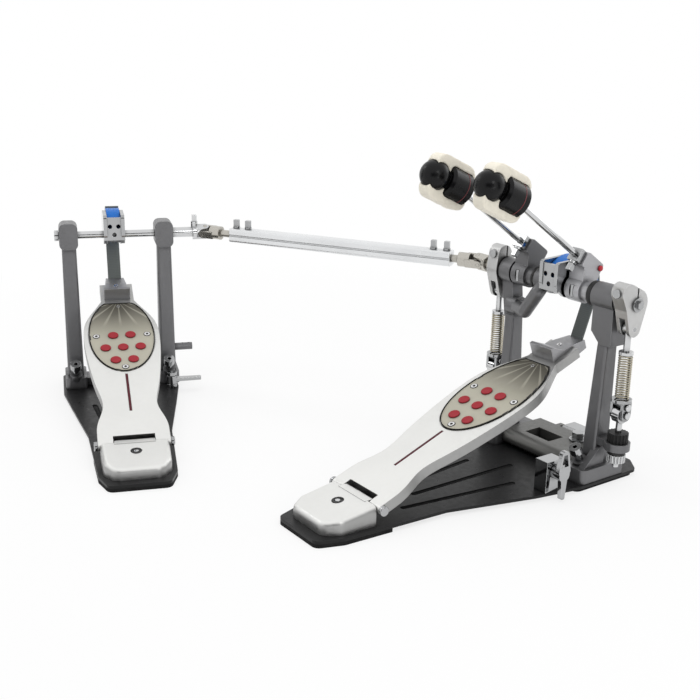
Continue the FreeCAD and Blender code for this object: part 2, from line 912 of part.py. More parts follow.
def cam_face():
    """The plastic cam that the belt rolls on, held between the carrier's cheeks."""
    rim = belt_radius - run_gap
    turn = math.radians(cam_start_deg)
    cam = Part.makeCylinder(rim, 2 * cam_half, V(0, 0, 0), AXIS_Z, cam_sweep_deg)
    stand = FreeCAD.Rotation(V(0, math.cos(turn), math.sin(turn)), V(0, -math.sin(turn), math.cos(turn)),
                             AXIS_X, "ZXY")
    cam.Placement = FreeCAD.Placement(V(-cam_half, cam_centre_y, cam_centre_up), stand)
    hub = rod_x(cam_hub_radius, -cam_half - overrun, cam_half + overrun)
    plate = box(-cam_half - overrun, cam_half + overrun, -2 * carrier_rear, carrier_plate - carrier_rear,
                -carrier_rear, carrier_plate_high)
    return on_axle(cut(cam, hub, plate))


# Posts, feet and cross casting

def front_profile(points, y0, y1, radius=0.0):
    """A bar along Y with an outline of (x, z) points."""
    corners = [V(x, y0, z) for x, z in points]
    wire = rounded_wire(corners, radius) if radius else polygon(corners)
    return prism(wire, V(0, y1 - y0, 0))


def post(foot_x, foot_wide, foot_deep, top_x, top_wide, top_deep, top_z):
    """A tapering cast post from the base plate up to its head."""
    low = rounded_rectangle(foot_wide / 2, foot_deep / 2, V(foot_x, 0, plate_top), post_edge)
    high = rounded_rectangle(top_wide / 2, top_deep / 2, V(top_x, 0, top_z), post_edge)
    return Part.makeLoft([low, high], True, True)


def spur_axis():
    """The direction of a spur bolt, leaning back from upright."""
    return FreeCAD.Rotation(AXIS_X, spur_tilt_deg).multVec(AXIS_Z)


def spur_seat(x, tall):
    """Where a spur bolt's boss rises from its foot."""
    return V(x, -spur_back + spur_boss_radius, plate_top + tall - spur_boss_radius)


def foot(x0, x1, back, front, tall, rib_x, spur_x):
    """A post's foot with its rear rib and the boss of the spur bolt."""
    pad = plan(((x0, -back), (x1, -back), (x1, front), (x0, front)), plate_top, plate_top + tall, foot_corner)
    top = plate_top + tall
    rib = profile(((-back + foot_corner, top - overrun), (-back + foot_corner, top),
                   (0, top + foot_rib_rise), (0, top - overrun)),
                  rib_x - foot_rib_thick / 2, rib_x + foot_rib_thick / 2)
    start = spur_seat(spur_x, tall)
    boss = bar(spur_boss_radius, start, start + spur_axis() * spur_boss_long)
    return fuse(pad, rib, boss)


def spur(x, tall):
    """A spur bolt on its boss: shank and socket head."""
    axis = spur_axis()
    seat = spur_seat(x, tall) + axis * spur_boss_long
    shank = bar(spur_shank_radius, seat, seat + axis * spur_shank_long)
    head_low = seat + axis * spur_shank_long
    head = bar(spur_head_radius, head_low, head_low + axis * spur_head_long)
    socket = hexagon(spur_socket, head_low + axis * (spur_head_long / 2), axis, spur_head_long)
    return cut(fuse(shank, head), socket)


def tension_ear(x, root_x):
    """The lug that carries a spring's tension rod."""
    low = ear_low
    high = ear_low + ear_thick
    lug = rod_z(ear_radius, low, high, x, 0.0)
    root = box(min(x, root_x), max(x, root_x), -ear_root_half, ear_root_half, low, high)
    return fuse(lug, root)


def rocker_span(side):
    """The place of a rocker along the axle: right (1) or left (-1)."""
    if side > 0:
        start = right_housing_x1 + right_rocker_gap
        return start, start + rocker_thick
    end = left_housing_x0 - left_rocker_gap
    return end - rocker_thick, end


def spring_x(side):
    """The spring hangs in the middle of its rocker."""
    x0, x1 = rocker_span(side)
    return (x0 + x1) / 2


def right_post():
    """The right casting: bearing housing, boss, post, foot and spring lug."""
    housing = rod_x(housing_radius, right_housing_x0, right_housing_x1, 0.0, axle_height)
    low = axle_height - boss_drop
    boss = front_profile(((boss_x0, axle_height), (boss_x0, low + boss_taper), (boss_x0 + boss_taper, low),
                          (boss_x1, low), (boss_x1, axle_height)), -boss_half_deep, boss_half_deep)
    leg = post(right_post_foot_x, post_foot_wide, post_foot_deep, right_post_top_x, post_top_wide,
               post_top_deep, low + post_edge)
    base = foot(right_foot_x0, right_foot_x1, foot_back, foot_front, foot_tall,
                right_foot_x1 - foot_rib_thick, right_foot_x0 + spur_boss_radius + post_edge)
    lug = tension_ear(spring_x(1), right_post_foot_x)
    body = fuse(housing, boss, leg, base, lug)
    bore = rod_x(axle_radius + pin_gap, right_housing_x0 - overrun, right_housing_x1 + overrun, 0.0,
                 axle_height)
    rod_bore = rod_z(tension_rod_radius, ear_low - overrun, ear_low + ear_thick + overrun, spring_x(1), 0.0)
    return cut(body, bore, rod_bore)


def hook_arm():
    """The curved arm that carries the inner bearing between the two axles."""
    lift = V(0, 0, axle_height)
    head_middle = V((hook_head_x0 + hook_head_x1) / 2, 0, axle_height)
    points = [hook_root + lift, hook_bend + lift, hook_rise + lift, head_middle]
    pieces = [bar(hook_arm_radius, a, b) for a, b in zip(points, points[1:])]
    pieces += [Part.makeSphere(hook_arm_radius, p) for p in points[1:3]]
    pieces.append(rod_x(hook_head_radius, hook_head_x0, hook_head_x1, 0.0, axle_height))
    root = hook_root + lift
    pieces.append(rod_x(hook_boss_radius, root.x - post_edge, root.x + hook_boss_radius, root.y, root.z))
    return pieces


def left_post():
    """The left casting: bearing housing, hooked inner bearing, post, foot and spring lug."""
    housing = rod_x(housing_radius, left_housing_x0, left_housing_x1, 0.0, axle_height)
    shoulder = axle_height - left_neck_drop
    leg = post(left_post_foot_x, post_foot_wide, post_foot_deep, left_post_top_x, post_top_wide,
               post_top_deep, shoulder + post_edge)
    neck_top = axle_height - axle_radius
    neck_low_x0 = left_post_top_x - left_neck_low_half
    neck_low_x1 = left_post_top_x + left_neck_low_half
    neck = front_profile(((neck_low_x0, shoulder), (neck_low_x1, shoulder), (left_housing_x1, neck_top),
                          (left_housing_x0, neck_top)), -left_neck_deep, left_neck_deep)
    base = foot(left_foot_x0, left_foot_x1, foot_back, foot_front, foot_tall,
                left_foot_x0 + foot_rib_thick, left_foot_x1 - spur_boss_radius - post_edge)
    lug = tension_ear(spring_x(-1), left_post_foot_x)
    body = fuse(housing, neck, leg, base, lug, *hook_arm())
    bore = rod_x(axle_radius + pin_gap, left_housing_x0 - overrun, hook_head_x1 + overrun, 0.0, axle_height)
    rod_bore = rod_z(tension_rod_radius, ear_low - overrun, ear_low + ear_thick + overrun, spring_x(-1), 0.0)
    return cut(body, bore, rod_bore)


def jaw_pivot():
    """The hoop clamp's pivot, as (y, z)."""
    return jaw_pivot_y, plate_top + jaw_pivot_up


def crossbar():
    """The casting between the feet: deck with a pocket, round rear bar and the hoop clamp's ears."""
    top = plate_top + deck_tall
    deck = box(left_foot_x1, right_foot_x0, -deck_back, deck_front, plate_top, top)
    rear = rod_x(deck_bar_radius, left_foot_x1, right_foot_x0, -deck_back, plate_top + deck_bar_radius)
    pocket = box(pocket_x0, pocket_x1, -pocket_back, pocket_front, top - pocket_deep, top + overrun)
    y, z = jaw_pivot()
    ears = []
    for x in (-jaw_half - run_gap - jaw_ear_thick, jaw_half + run_gap):
        ears.append(link_outline((deck_front - jaw_eye_radius, z), jaw_eye_radius, (y, z),
                                 jaw_eye_radius - pin_gap, x, x + jaw_ear_thick))
    ear_end = jaw_half + run_gap + jaw_ear_thick + overrun
    pin_bore = rod_x(jaw_pin_radius, -ear_end, ear_end, y, z)
    bolt_bore = rod_z(deck_bolt_radius / 2, plate_top - overrun, top + overrun, deck_bolt_x, deck_bolt_y)
    return cut(fuse(deck, rear, *ears), pocket, pin_bore, bolt_bore)


def deck_bolt():
    """The large hexagon bolt and washer that hold the cross casting down."""
    top = plate_top + deck_tall
    washer_top = top + deck_washer_thick
    shank = rod_z(deck_bolt_radius / 2, plate_top, top, deck_bolt_x, deck_bolt_y)
    washer = rod_z(deck_washer_radius, top, washer_top, deck_bolt_x, deck_bolt_y)
    head = hexagon(deck_bolt_radius, V(deck_bolt_x, deck_bolt_y, washer_top), AXIS_Z, deck_bolt_tall)
    return fuse(shank, washer, head)


# Hoop clamp

def jaw_pin():
    """The pin that the hoop clamp's jaw turns on."""
    y, z = jaw_pivot()
    end = jaw_half + run_gap + jaw_ear_thick
    return rod_x(jaw_pin_radius, -end, end, y, z)


def clamp_jaw():
    """The hoop clamp's jaw: knuckle, arm and down-turned lip."""
    y, z = jaw_pivot()
    tip = y + jaw_reach
    arm_low = z + jaw_eye_radius - jaw_thick
    top = z + jaw_eye_radius
    arm = profile(((y, arm_low), (tip - jaw_thick, arm_low), (tip - jaw_thick, z - jaw_lip),
                   (tip, z - jaw_lip), (tip, top - jaw_thick / 2), (tip - jaw_thick / 2, top), (y, top)),
                  -jaw_half, jaw_half)
    knuckle = rod_x(jaw_eye_radius, -jaw_half, jaw_half, y, z)
    bore = rod_x(jaw_pin_radius + pin_gap, -jaw_half - overrun, jaw_half + overrun, y, z)
    return cut(fuse(arm, knuckle), bore)


def lever_bracket():
    """The block on the base plate that holds the hoop clamp's screw."""
    block = box(lever_bracket_x0, lever_bracket_x1, -lever_back - lever_bracket_half,
                -lever_back + lever_bracket_half, plate_top, plate_top + lever_bracket_tall)
    bore = rod_x(lever_shaft_radius + pin_gap, lever_bracket_x0 - overrun, lever_bracket_x1 + overrun,
                 -lever_back, lever_height)
    return block.cut(bore)


def clamp_lever():
    """The hoop clamp's wing screw: shaft, hub, looped upper wing and straight tail."""
    hub_x0 = lever_bracket_x1 + run_gap
    wing_x0 = hub_x0 + lever_hub_long
    wing_x1 = wing_x0 + lever_wing_thick
    shaft = rod_x(lever_shaft_radius, lever_bracket_x0, hub_x0, -lever_back, lever_height)
    hub = rod_x(lever_hub_radius, hub_x0, wing_x1, -lever_back, lever_height)
    half = lever_loop_wide / 2
    y = -lever_back
    loop = profile(((y - half, lever_height), (y + half, lever_height),
                    (y + half / 2, lever_height + lever_up), (y - half / 2, lever_height + lever_up)),
                   wing_x0, wing_x1, lever_loop_wall)
    inner = half - lever_loop_wall
    window = profile(((y - inner, lever_height + lever_hub_radius + lever_loop_wall / 2),
                      (y + inner, lever_height + lever_hub_radius + lever_loop_wall / 2),
                      (y + inner / 2, lever_height + lever_up - lever_loop_wall),
                      (y - inner / 2, lever_height + lever_up - lever_loop_wall)),
                     wing_x0 - overrun, wing_x1 + overrun)
    tail_half = lever_wing_wide / 2
    tail = profile(((y - tail_half, lever_height), (y + tail_half, lever_height),
                    (y + tail_half / 2, lever_height - lever_down),
                    (y - tail_half / 2, lever_height - lever_down)), wing_x0, wing_x1, tail_half / 3)
    return fuse(shaft, hub, loop.cut(window), tail)


# Axles and beaters

def right_axle():
    """The right axle with its thrust collars."""
    start = (hook_head_x0 + hook_head_x1) / 2 + axle_end_gap / 2
    end = rocker_span(1)[1]
    inner_collar = rod_x(collar_radius, right_rod_x + holder_half + holder_neck_long,
                         right_housing_x0 - collar_gap)
    outer_collar = rod_x(collar_radius, right_housing_x1 + collar_gap, rocker_span(1)[0])
    return on_axle(fuse(rod_x(axle_radius, start, end), inner_collar, outer_collar))


def holder(place, wide_half):
    """A cast beater holder: hub on the axle, web and the block that the rod passes through."""
    x0 = place - wide_half
    x1 = place + wide_half
    neck_end = x1 + holder_neck_long
    hub = fuse(rod_x(holder_hub_radius, x0, x1), rod_x(holder_neck_radius, x1, neck_end))
    near = rod_offset - holder_block_half
    far = rod_offset + holder_block_half
    block = profile(((near, -holder_low), (far, -holder_low), (far, holder_high), (near, holder_high)),
                    x0, x1, post_edge)
    web = profile(((0, -holder_web_half), (rod_offset, -holder_low), (rod_offset, holder_high),
                   (0, holder_web_half)), x0, x1)
    bore = rod_x(axle_radius, x0 - overrun, neck_end + overrun)
    rod_bore = rod_z(rod_radius + pin_gap, -holder_low - overrun, holder_high + overrun, place, rod_offset)
    placed = on_beater(cut(fuse(hub, block, web), bore, rod_bore))
    return placed.cut(slot_room(place))


def slot_room(place):
    """The open slot at the back of a holder's hub, with the clamp bolt in it."""
    half = slot_bolt_radius + run_gap
    return box(place - half, place + half, -2 * holder_hub_radius, -holder_hub_radius + 2 * slot_bolt_radius,
               axle_height - slot_bolt_long / 2, axle_height + slot_bolt_long / 2)


def slot_bolt(place):
    """The bolt that clamps a holder's hub on the axle."""
    return rod_z(slot_bolt_radius, axle_height - slot_bolt_long / 2, axle_height + slot_bolt_long / 2, place,
                 -holder_hub_radius + slot_bolt_radius)


def key_bolt(seat, direction):
    """A square-headed bolt with a round collar, standing on a seat."""
    collar = rod_z(key_collar_radius, 0.0, key_collar_long)
    half = key_head / 2
    head = box(-half, half, -half, half, key_collar_long, key_collar_long + key_head_long)
    bolt = fuse(collar, head)
    bolt.Placement = FreeCAD.Placement(seat, FreeCAD.Rotation(AXIS_Z, direction))
    return bolt


def rod_clamp(place):
    """The chrome block that grips a rod above its holder, and its key bolt."""
    low = holder_high
    block = box(place - clamp_half, place + clamp_half, rod_offset - clamp_half, rod_offset + clamp_half, low,
                low + clamp_long)
    rod_bore = rod_z(rod_radius + pin_gap, low - overrun, low + clamp_long + overrun, place, rod_offset)
    bolt = key_bolt(V(place, rod_offset - clamp_half, low + clamp_long / 2), V(0, -1, 0))
    return [on_beater(block.cut(rod_bore)), on_beater(bolt)]


def rocker_boss(boss_deg):
    """The centre of a rocker's clamp boss, as (y, z) about the axle."""
    angle = math.radians(boss_deg)
    return rocker_boss_reach * math.cos(angle), rocker_boss_reach * math.sin(angle)


def rocker(side, boss_deg):
    """A cast rocker: split hub, clamp boss and the forked arm that pulls the spring."""
    x0, x1 = rocker_span(side)
    middle = (x0 + x1) / 2
    boss = rocker_boss(boss_deg)
    arm = (0.0, -rocker_arm_reach)
    body = fuse(link_outline((0.0, 0.0), rocker_hub_radius, boss, rocker_boss_radius, x0, x1),
                link_outline((0.0, 0.0), rocker_hub_radius, arm, rocker_arm_radius, x0, x1))
    bore = rod_x(axle_radius, x0 - overrun, x1 + overrun)
    slit = box(x0 - overrun, x1 + overrun, -rocker_slit / 2, rocker_slit / 2, 0.0,
               rocker_boss_reach + rocker_boss_radius + overrun)
    arm_end = rocker_arm_reach + rocker_arm_radius + overrun
    fork_room = box(middle - fork_slot / 2, middle + fork_slot / 2, -rocker_hub_radius, rocker_hub_radius,
                    -arm_end, -fork_top)
    pin_bore = rod_x(link_pin_radius, x0 - overrun, x1 + overrun, *arm)
    seat_y = boss[0] - rocker_boss_radius + boss_bolt_long / 2
    seat = rod_y(boss_bolt_radius, seat_y - boss_bolt_long - overrun, seat_y, middle, boss[1])
    return on_axle(cut(body, bore, slit, fork_room, pin_bore, seat))


def rocker_bolts(side, boss_deg):
    """A rocker's clamp bolt and link pin, and the end bolt on the right one."""
    x0, x1 = rocker_span(side)
    boss = rocker_boss(boss_deg)
    seat_y = boss[0] - rocker_boss_radius + boss_bolt_long / 2
    bolts = [rod_y(boss_bolt_radius, seat_y - boss_bolt_long, seat_y, (x0 + x1) / 2, boss[1]),
             rod_x(link_pin_radius, x0, x1, 0.0, -rocker_arm_reach)]
    if side > 0:
        cap = rod_x(rocker_cap_radius, x1, x1 + rocker_cap_long)
        head = hexagon(rocker_cap_hex, V(x1 + rocker_cap_long, 0, 0), AXIS_X, rocker_cap_hex_long)
        bolts.append(fuse(cap, head))
    return [on_axle(b) for b in bolts]


def beater_rod(place):
    """A beater's straight rod."""
    return on_beater(beater_rod_upright(place))


def tilt_head(shape):
    """A head leans back a little from its rod, about its own middle."""
    leaning = shape.copy()
    leaning.rotate(V(0, rod_offset, head_low + band_long), AXIS_X, head_tilt_deg)
    return leaning


def head_core_upright(place):
    """The black head core on its rod: band, waist and dome."""
    band_top = head_low + band_long
    dome_middle = band_top + waist_long + dome_radius / 2
    middle_y = rod_offset + head_offset
    band = rod_z(band_radius, head_low, band_top, place, middle_y)
    band = band.makeChamfer(band_edge, [e for e in band.Edges if len(e.Vertexes) == 1])
    waist = rod_z(waist_radius, band_top, dome_middle, place, middle_y)
    dome = Part.makeSphere(dome_radius, V(place, middle_y, dome_middle))
    return cut(tilt_head(fuse(band, waist, dome)), beater_rod_upright(place))


def head_felt(place):
    """Two felt pads on the head's striking sides."""
    low = head_low - felt_overhang
    middle_y = rod_offset + head_offset
    high = head_low + band_long + waist_long + dome_radius * 3 / 2 - felt_front_gap
    body = profile(((middle_y - felt_reach, low), (middle_y + felt_reach, low),
                    (middle_y + felt_reach, high), (middle_y - felt_reach, high)),
                   place - felt_half, place + felt_half, felt_round)
    middle = box(place - 2 * felt_half, place + 2 * felt_half, middle_y - felt_inner,
                 middle_y + felt_inner, low - overrun, high + overrun)
    pads = cut(tilt_head(body.cut(middle)), head_core_upright(place), beater_rod_upright(place))
    return on_beater(Part.makeCompound(pads.Solids))


def beater_rod_upright(place):
    """The rod in the beater's own frame."""
    return rod_z(rod_radius, -rod_low, head_low + head_seat, place, rod_offset)


# Spring linkage

def stirrup(side):
    """The link between a rocker's fork and the top of its spring."""
    x = spring_x(side)
    pin_z = axle_height - rocker_arm_reach
    low = axle_height - spring_top
    eye = rod_x(stirrup_eye_radius, x - stirrup_thick / 2, x + stirrup_thick / 2, 0.0, pin_z)
    neck = rod_z(stirrup_neck, low, pin_z, x, 0.0)
    cap = rod_z(cap_radius, low, low + cap_thick, x, 0.0)
    bore = rod_x(link_pin_radius + link_pin_gap, x - stirrup_thick, x + stirrup_thick, 0.0, pin_z)
    return cut(fuse(eye, neck, cap), bore)


def lower_link(side):
    """The clevis under a spring, its pin loose in the tension rod's eye."""
    x = spring_x(side)
    top = spring_foot
    pivot = top - lower_pivot_drop
    cap = rod_z(cap_radius + link_cheek, top - cap_thick, top, x, 0.0)
    cheeks = []
    for x0 in (x - link_half, x + link_half - link_cheek):
        cheek = fuse(rod_x(link_back, x0, x0 + link_cheek, 0.0, pivot),
                     box(x0, x0 + link_cheek, -link_back, link_back, pivot, top - cap_thick))
        cheeks.append(cheek)
    pin = rod_x(link_pin_radius, x - link_half, x + link_half, 0.0, pivot)
    return fuse(cap, pin, *cheeks)


def tension_rod(side):
    """The screwed rod with its wide eye, and the ring and lock nut under the lug."""
    x = spring_x(side)
    pivot = spring_foot - lower_pivot_drop
    eye_middle = pivot - eye_drop
    rod = rod_z(tension_rod_radius, tension_rod_low, eye_middle, x, 0.0)
    eye = rod_x(eye_radius, x - eye_thick / 2, x + eye_thick / 2, 0.0, eye_middle)
    bore = rod_x(eye_hole_radius, x - eye_thick, x + eye_thick, 0.0, eye_middle)
    ring_low = ear_low - ring_tall
    ring = rod_z(ring_radius, ring_low, ear_low, x, 0.0)
    lock = fluted_nut(lock_radius, ring_low - lock_tall, ring_low, x)
    return [cut(fuse(rod, eye), bore), ring.cut(rod), lock.cut(rod)]


def fluted_nut(radius, z0, z1, x):
    """A round hand nut with flutes about its rim."""
    nut = rod_z(radius, z0, z1, x, 0.0)
    flutes = []
    for i in range(knob_flutes):
        angle = 2 * math.pi * i / knob_flutes
        flutes.append(rod_z(knob_flute_radius, z0 - overrun, z1 + overrun, x + radius * math.cos(angle),
                            radius * math.sin(angle)))
    return cut(nut, *flutes)


def tension_nut(side):
    """The black hand nut on top of the lug that sets the spring's pull."""
    x = spring_x(side)
    low = ear_low + ear_thick + pin_gap
    nut = fluted_nut(knob_radius, low, low + knob_tall, x)
    bore = rod_z(tension_rod_radius + pin_gap, low - overrun, low + knob_tall + overrun, x, 0.0)
    return nut.cut(bore)


def tangent_arc(start, corner, end):
    """The arc that leaves start and reaches end along the sides of a corner with equal sides."""
    base_middle = (start + end) * 0.5
    half_base = (end - start).Length / 2
    rise = corner - base_middle
    sagitta = half_base * math.tan(math.atan2(rise.Length, half_base) / 2)
    return Part.Arc(start, base_middle + rise.normalize() * sagitta, end).toShape()


def biarc(start, start_way, end, end_way):
    """Two arcs that join two points and follow a direction at each."""
    gap = end - start
    ways = start_way + end_way
    square = ways.dot(ways) - 4
    along = gap.dot(ways)
    reach = (along - math.sqrt(along ** 2 - square * gap.dot(gap))) / square
    first_corner = start + start_way * reach
    last_corner = end - end_way * reach
    joint = (first_corner + last_corner) * 0.5
    return [tangent_arc(start, first_corner, joint), tangent_arc(joint, last_corner, end)]


def spring_path(side):
    """The centre line of a spring: a helix of arcs with an upright stub at each end."""
    x = spring_x(side)
    low = spring_foot
    stub = spring_stub
    bend = stub
    radius = spring_mean_radius
    rise = spring_long - 2 * (stub + bend)
    pitch = rise / spring_turns
    slope = pitch / (2 * math.pi)
    speed = math.hypot(radius, slope)

    def place(angle, z):
        return V(x + radius * math.cos(angle), radius * math.sin(angle), z)

    def way(angle):
        return V(-radius * math.sin(angle) / speed, radius * math.cos(angle) / speed, slope / speed)

    foot_point = place(0, low)
    stub_top = place(0, low + stub)
    edges = [Part.LineSegment(foot_point, stub_top).toShape()]
    first = stub_top + V(0, bend, bend)
    edges.append(tangent_arc(stub_top, stub_top + V(0, 0, bend), first))
    base = low + stub + bend
    here, heading = first, AXIS_Y
    quarters = 4 * spring_turns
    for i in range(1, quarters):
        angle = math.pi / 2 * i
        there = place(angle, base + slope * angle)
        edges += biarc(here, heading, there, way(angle))
        here, heading = there, way(angle)
    last = place(0, low + spring_long - stub) - V(0, bend, bend)
    edges += biarc(here, heading, last, AXIS_Y)
    cap_foot = place(0, low + spring_long - stub)
    edges.append(tangent_arc(last, last + V(0, bend, 0), cap_foot))
    edges.append(Part.LineSegment(cap_foot, place(0, low + spring_long)).toShape())
    return edges


def spring(side):
    """A close-wound extension spring as one unbroken wire."""
    edges = spring_path(side)
    spine = Part.Wire(edges)
    section = Part.Wire(Part.makeCircle(spring_wire_radius, edges[0].Vertexes[0].Point, AXIS_Z))
    shell = Part.BRepOffsetAPI.MakePipeShell(spine)
    shell.add(section)
    shell.build()
    shell.makeSolid()
    return shell.shape()


def spring_gap():
    """The least gap between one turn of a spring and the next, measured on points."""
    samples = []
    for edge in spring_path(1):
        samples += edge.discretize(5)[:-1]
    turn = int(len(samples) / spring_turns)
    least = spring_long
    for i, point in enumerate(samples):
        for other in samples[i + turn // 2:i + turn + turn // 2]:
            least = min(least, point.distanceToPoint(other))
    return least - 2 * spring_wire_radius


# Cardan joints and drive shaft

def joint_points():
    """The centres of the slave and the main Cardan joint."""
    slave_point = slave_direction(V(slave_joint_x, 0, 0)) + V(slave_x, slave_y, axle_height)
    return slave_point, V(main_joint_x, 0, axle_height)


def joint_frame():
    """The drive shaft's direction and the pin directions of both joints at rest."""
    slave_point, main_point = joint_points()
    shaft = (main_point - slave_point).normalize()
    main_pin = FreeCAD.Rotation(AXIS_X, joint_mid_travel_deg).multVec(AXIS_Z)
    shaft_pin = shaft.cross(main_pin).normalize()
    slave_pin = slave_direction(AXIS_X).cross(shaft_pin).normalize()
    return shaft, main_pin, shaft_pin, slave_pin


def fork(centre, toward, pin, gap):
    """A Cardan fork: its base lies toward a direction and its two ears hold a pin."""
    pieces = [rod_x(fork_base_radius, fork_base_near, fork_base_far)]
    for side in (-1, 1):
        z0 = min(side * fork_ear_near, side * fork_ear_far)
        z1 = max(side * fork_ear_near, side * fork_ear_far)
        pieces.append(rod_z(fork_ear_radius, z0, z1))
        pieces.append(box(0.0, fork_base_far, -fork_ear_radius, fork_ear_radius, z0, z1))
    bore = rod_z(cross_pin_radius + gap, -2 * fork_ear_far, 2 * fork_ear_far)
    shape = cut(fuse(*pieces), bore)
    shape.Placement = FreeCAD.Placement(centre, FreeCAD.Rotation(toward, pin.cross(toward), pin, "XZY"))
    return shape


def cross(centre, first_pin, second_pin):
    """The spider of a Cardan joint: a ball with two crossed pins."""
    pieces = [Part.makeSphere(cross_ball_radius, centre)]
    for pin in (first_pin, second_pin):
        pieces.append(bar(cross_pin_radius, centre - pin * fork_ear_far, centre + pin * fork_ear_far))
    return fuse(*pieces)


def left_axle():
    """The left axle with the main Cardan joint's outer fork on its end."""
    main_point = joint_points()[1]
    main_pin = joint_frame()[1]
    end = (hook_head_x0 + hook_head_x1) / 2 - axle_end_gap / 2
    shaft = rod_x(axle_radius, main_joint_x + fork_base_near, end, 0.0, axle_height)
    collar = rod_x(hook_head_radius, left_rod_x + holder_half + holder_neck_long, hook_head_x0 - collar_gap,
                   0.0, axle_height)
    return fuse(shaft, collar, fork(main_point, AXIS_X, main_pin, open_pin_gap))


def on_shaft(shape):
    """From the drive shaft's own frame, X along it from the slave joint, to its place."""
    placed = shape.copy()
    shaft = joint_frame()[0]
    turn = FreeCAD.Rotation(shaft, AXIS_Z.cross(shaft), AXIS_Z, "XZY")
    placed.Placement = FreeCAD.Placement(joint_points()[0], turn).multiply(placed.Placement)
    return placed


def shaft_long():
    """The distance between the two Cardan joints."""
    slave_point, main_point = joint_points()
    return (main_point - slave_point).Length


def shaft_tube():
    """The aluminium extrusion with its two side grooves and its bore for the inner rods."""
    low = tube_slave_inset
    high = shaft_long() - tube_main_inset
    outline = rounded_wire([V(low, -tube_half, -tube_half), V(low, tube_half, -tube_half),
                            V(low, tube_half, tube_half), V(low, -tube_half, tube_half)], tube_edge)
    tube = prism(outline, V(high - low, 0, 0))
    grooves = [rod_x(tube_groove, low - overrun, high + overrun, side * tube_half, 0.0) for side in (-1, 1)]
    bore = rod_x(inner_rod_radius, low - overrun, high + overrun)
    return on_shaft(cut(tube, bore, *grooves))


def shaft_rods():
    """The two inner rods of the drive shaft, each with its Cardan fork."""
    shaft, main_pin, shaft_pin, slave_pin = joint_frame()
    rods = []
    for point, way in zip(joint_points(), (1, -1)):
        along = shaft * way
        neck_end = point + along * (fork_base_far + fork_neck_long)
        neck = bar(fork_neck_radius, point + along * fork_base_near, neck_end)
        rod = bar(inner_rod_radius, neck_end, neck_end + along * inner_rod_long)
        rods.append(fuse(fork(point, along, shaft_pin, pin_gap), neck, rod))
    return Part.makeCompound(rods)


def shaft_keys():
    """The key bolts that clamp the inner rods in the tube."""
    bolts = []
    for end, way in ((tube_slave_inset, 1), (shaft_long() - tube_main_inset, -1)):
        for i in range(2):
            seat = V(end + way * (key_near + i * key_pitch), 0, tube_half)
            bolts.append(on_shaft(key_bolt(seat, AXIS_Z)))
    return Part.makeCompound(bolts)


# Slave pedal

def slave_post(place):
    """A slave post: rounded bearing head, tapering leg and foot."""
    half = slave_head_wide / 2
    tall = slave_head_tall / 2
    head = front_profile(((place - half, axle_height - tall), (place + half, axle_height - tall),
                          (place + half, axle_height + tall), (place - half, axle_height + tall)),
                         -slave_head_deep / 2, slave_head_deep / 2, slave_head_edge)
    leg = post(place, slave_post_foot_wide, slave_post_foot_deep, place, slave_post_top_wide,
               slave_post_top_deep, axle_height - tall + post_edge)
    foot_half = slave_foot_wide / 2
    base = plan(((place - foot_half, -slave_foot_back), (place + foot_half, -slave_foot_back),
                 (place + foot_half, slave_foot_front), (place - foot_half, slave_foot_front)),
                plate_top, plate_top + slave_foot_tall, foot_corner)
    start = spur_seat(place, slave_foot_tall)
    boss = bar(spur_boss_radius, start, start + spur_axis() * spur_boss_long)
    bore = rod_x(slave_axle_radius + pin_gap, place - slave_head_wide, place + slave_head_wide, 0.0,
                 axle_height)
    return cut(fuse(head, leg, base, boss), bore)


def slave_posts():
    """Both slave posts, the right one with its pierced peg."""
    left = slave_post(slave_left_post_x)
    right = slave_post(slave_right_post_x)
    root = slave_right_post_x + slave_post_foot_wide / 2
    peg = rod_x(peg_radius, slave_right_post_x, root + peg_long, 0.0, peg_height)
    holes = []
    for share in (peg_near_share, peg_far_share):
        holes.append(rod_z(peg_hole, peg_height - 2 * peg_radius, peg_height + 2 * peg_radius,
                           root + peg_long * share, 0.0))
    return Part.makeCompound([left, cut(fuse(right, peg), *holes), slave_crossbar()])


def slave_crossbar():
    """The flat bar that ties the slave posts' feet together."""
    x0 = slave_left_post_x + slave_foot_wide / 2
    x1 = slave_right_post_x - slave_foot_wide / 2
    return box(x0, x1, -slave_bar_back, slave_bar_front, plate_top, plate_top + slave_bar_tall)


def wing_stud():
    """The stud and nut that the slave's wing turns on."""
    stud = rod_z(wing_stud_radius, plate_top, wing_high, wing_x, -wing_back)
    seat = rod_z(wing_hub_radius, plate_top, wing_low - run_gap, wing_x, -wing_back)
    nut = hexagon(wing_hub_radius, V(wing_x, -wing_back, wing_high + run_gap), AXIS_Z, wing_head_tall)
    tip = rod_z(wing_stud_radius, wing_high, wing_high + run_gap, wing_x, -wing_back)
    return fuse(stud, seat, tip, nut)


def slave_wing():
    """The slave's wing: a hub with one long blade."""
    hub = rod_z(wing_hub_radius, wing_low, wing_high, wing_x, -wing_back)
    middle = (wing_low + wing_high) / 2
    end = wing_x + wing_blade_long
    blade = plan(((wing_x, -wing_back - wing_blade_half), (end, -wing_back - wing_tip_half),
                  (end, -wing_back + wing_tip_half), (wing_x, -wing_back + wing_blade_half)),
                 middle - wing_blade_thick / 2, middle + wing_blade_thick / 2, wing_tip_half / 2)
    bore = rod_z(wing_stud_radius + pin_gap, wing_low - overrun, wing_high + overrun, wing_x, -wing_back)
    return cut(fuse(hub, blade), bore)


def key_seat():
    """The height of the slave joint's key bolt above the axle."""
    return fork_base_radius + key_collar_long


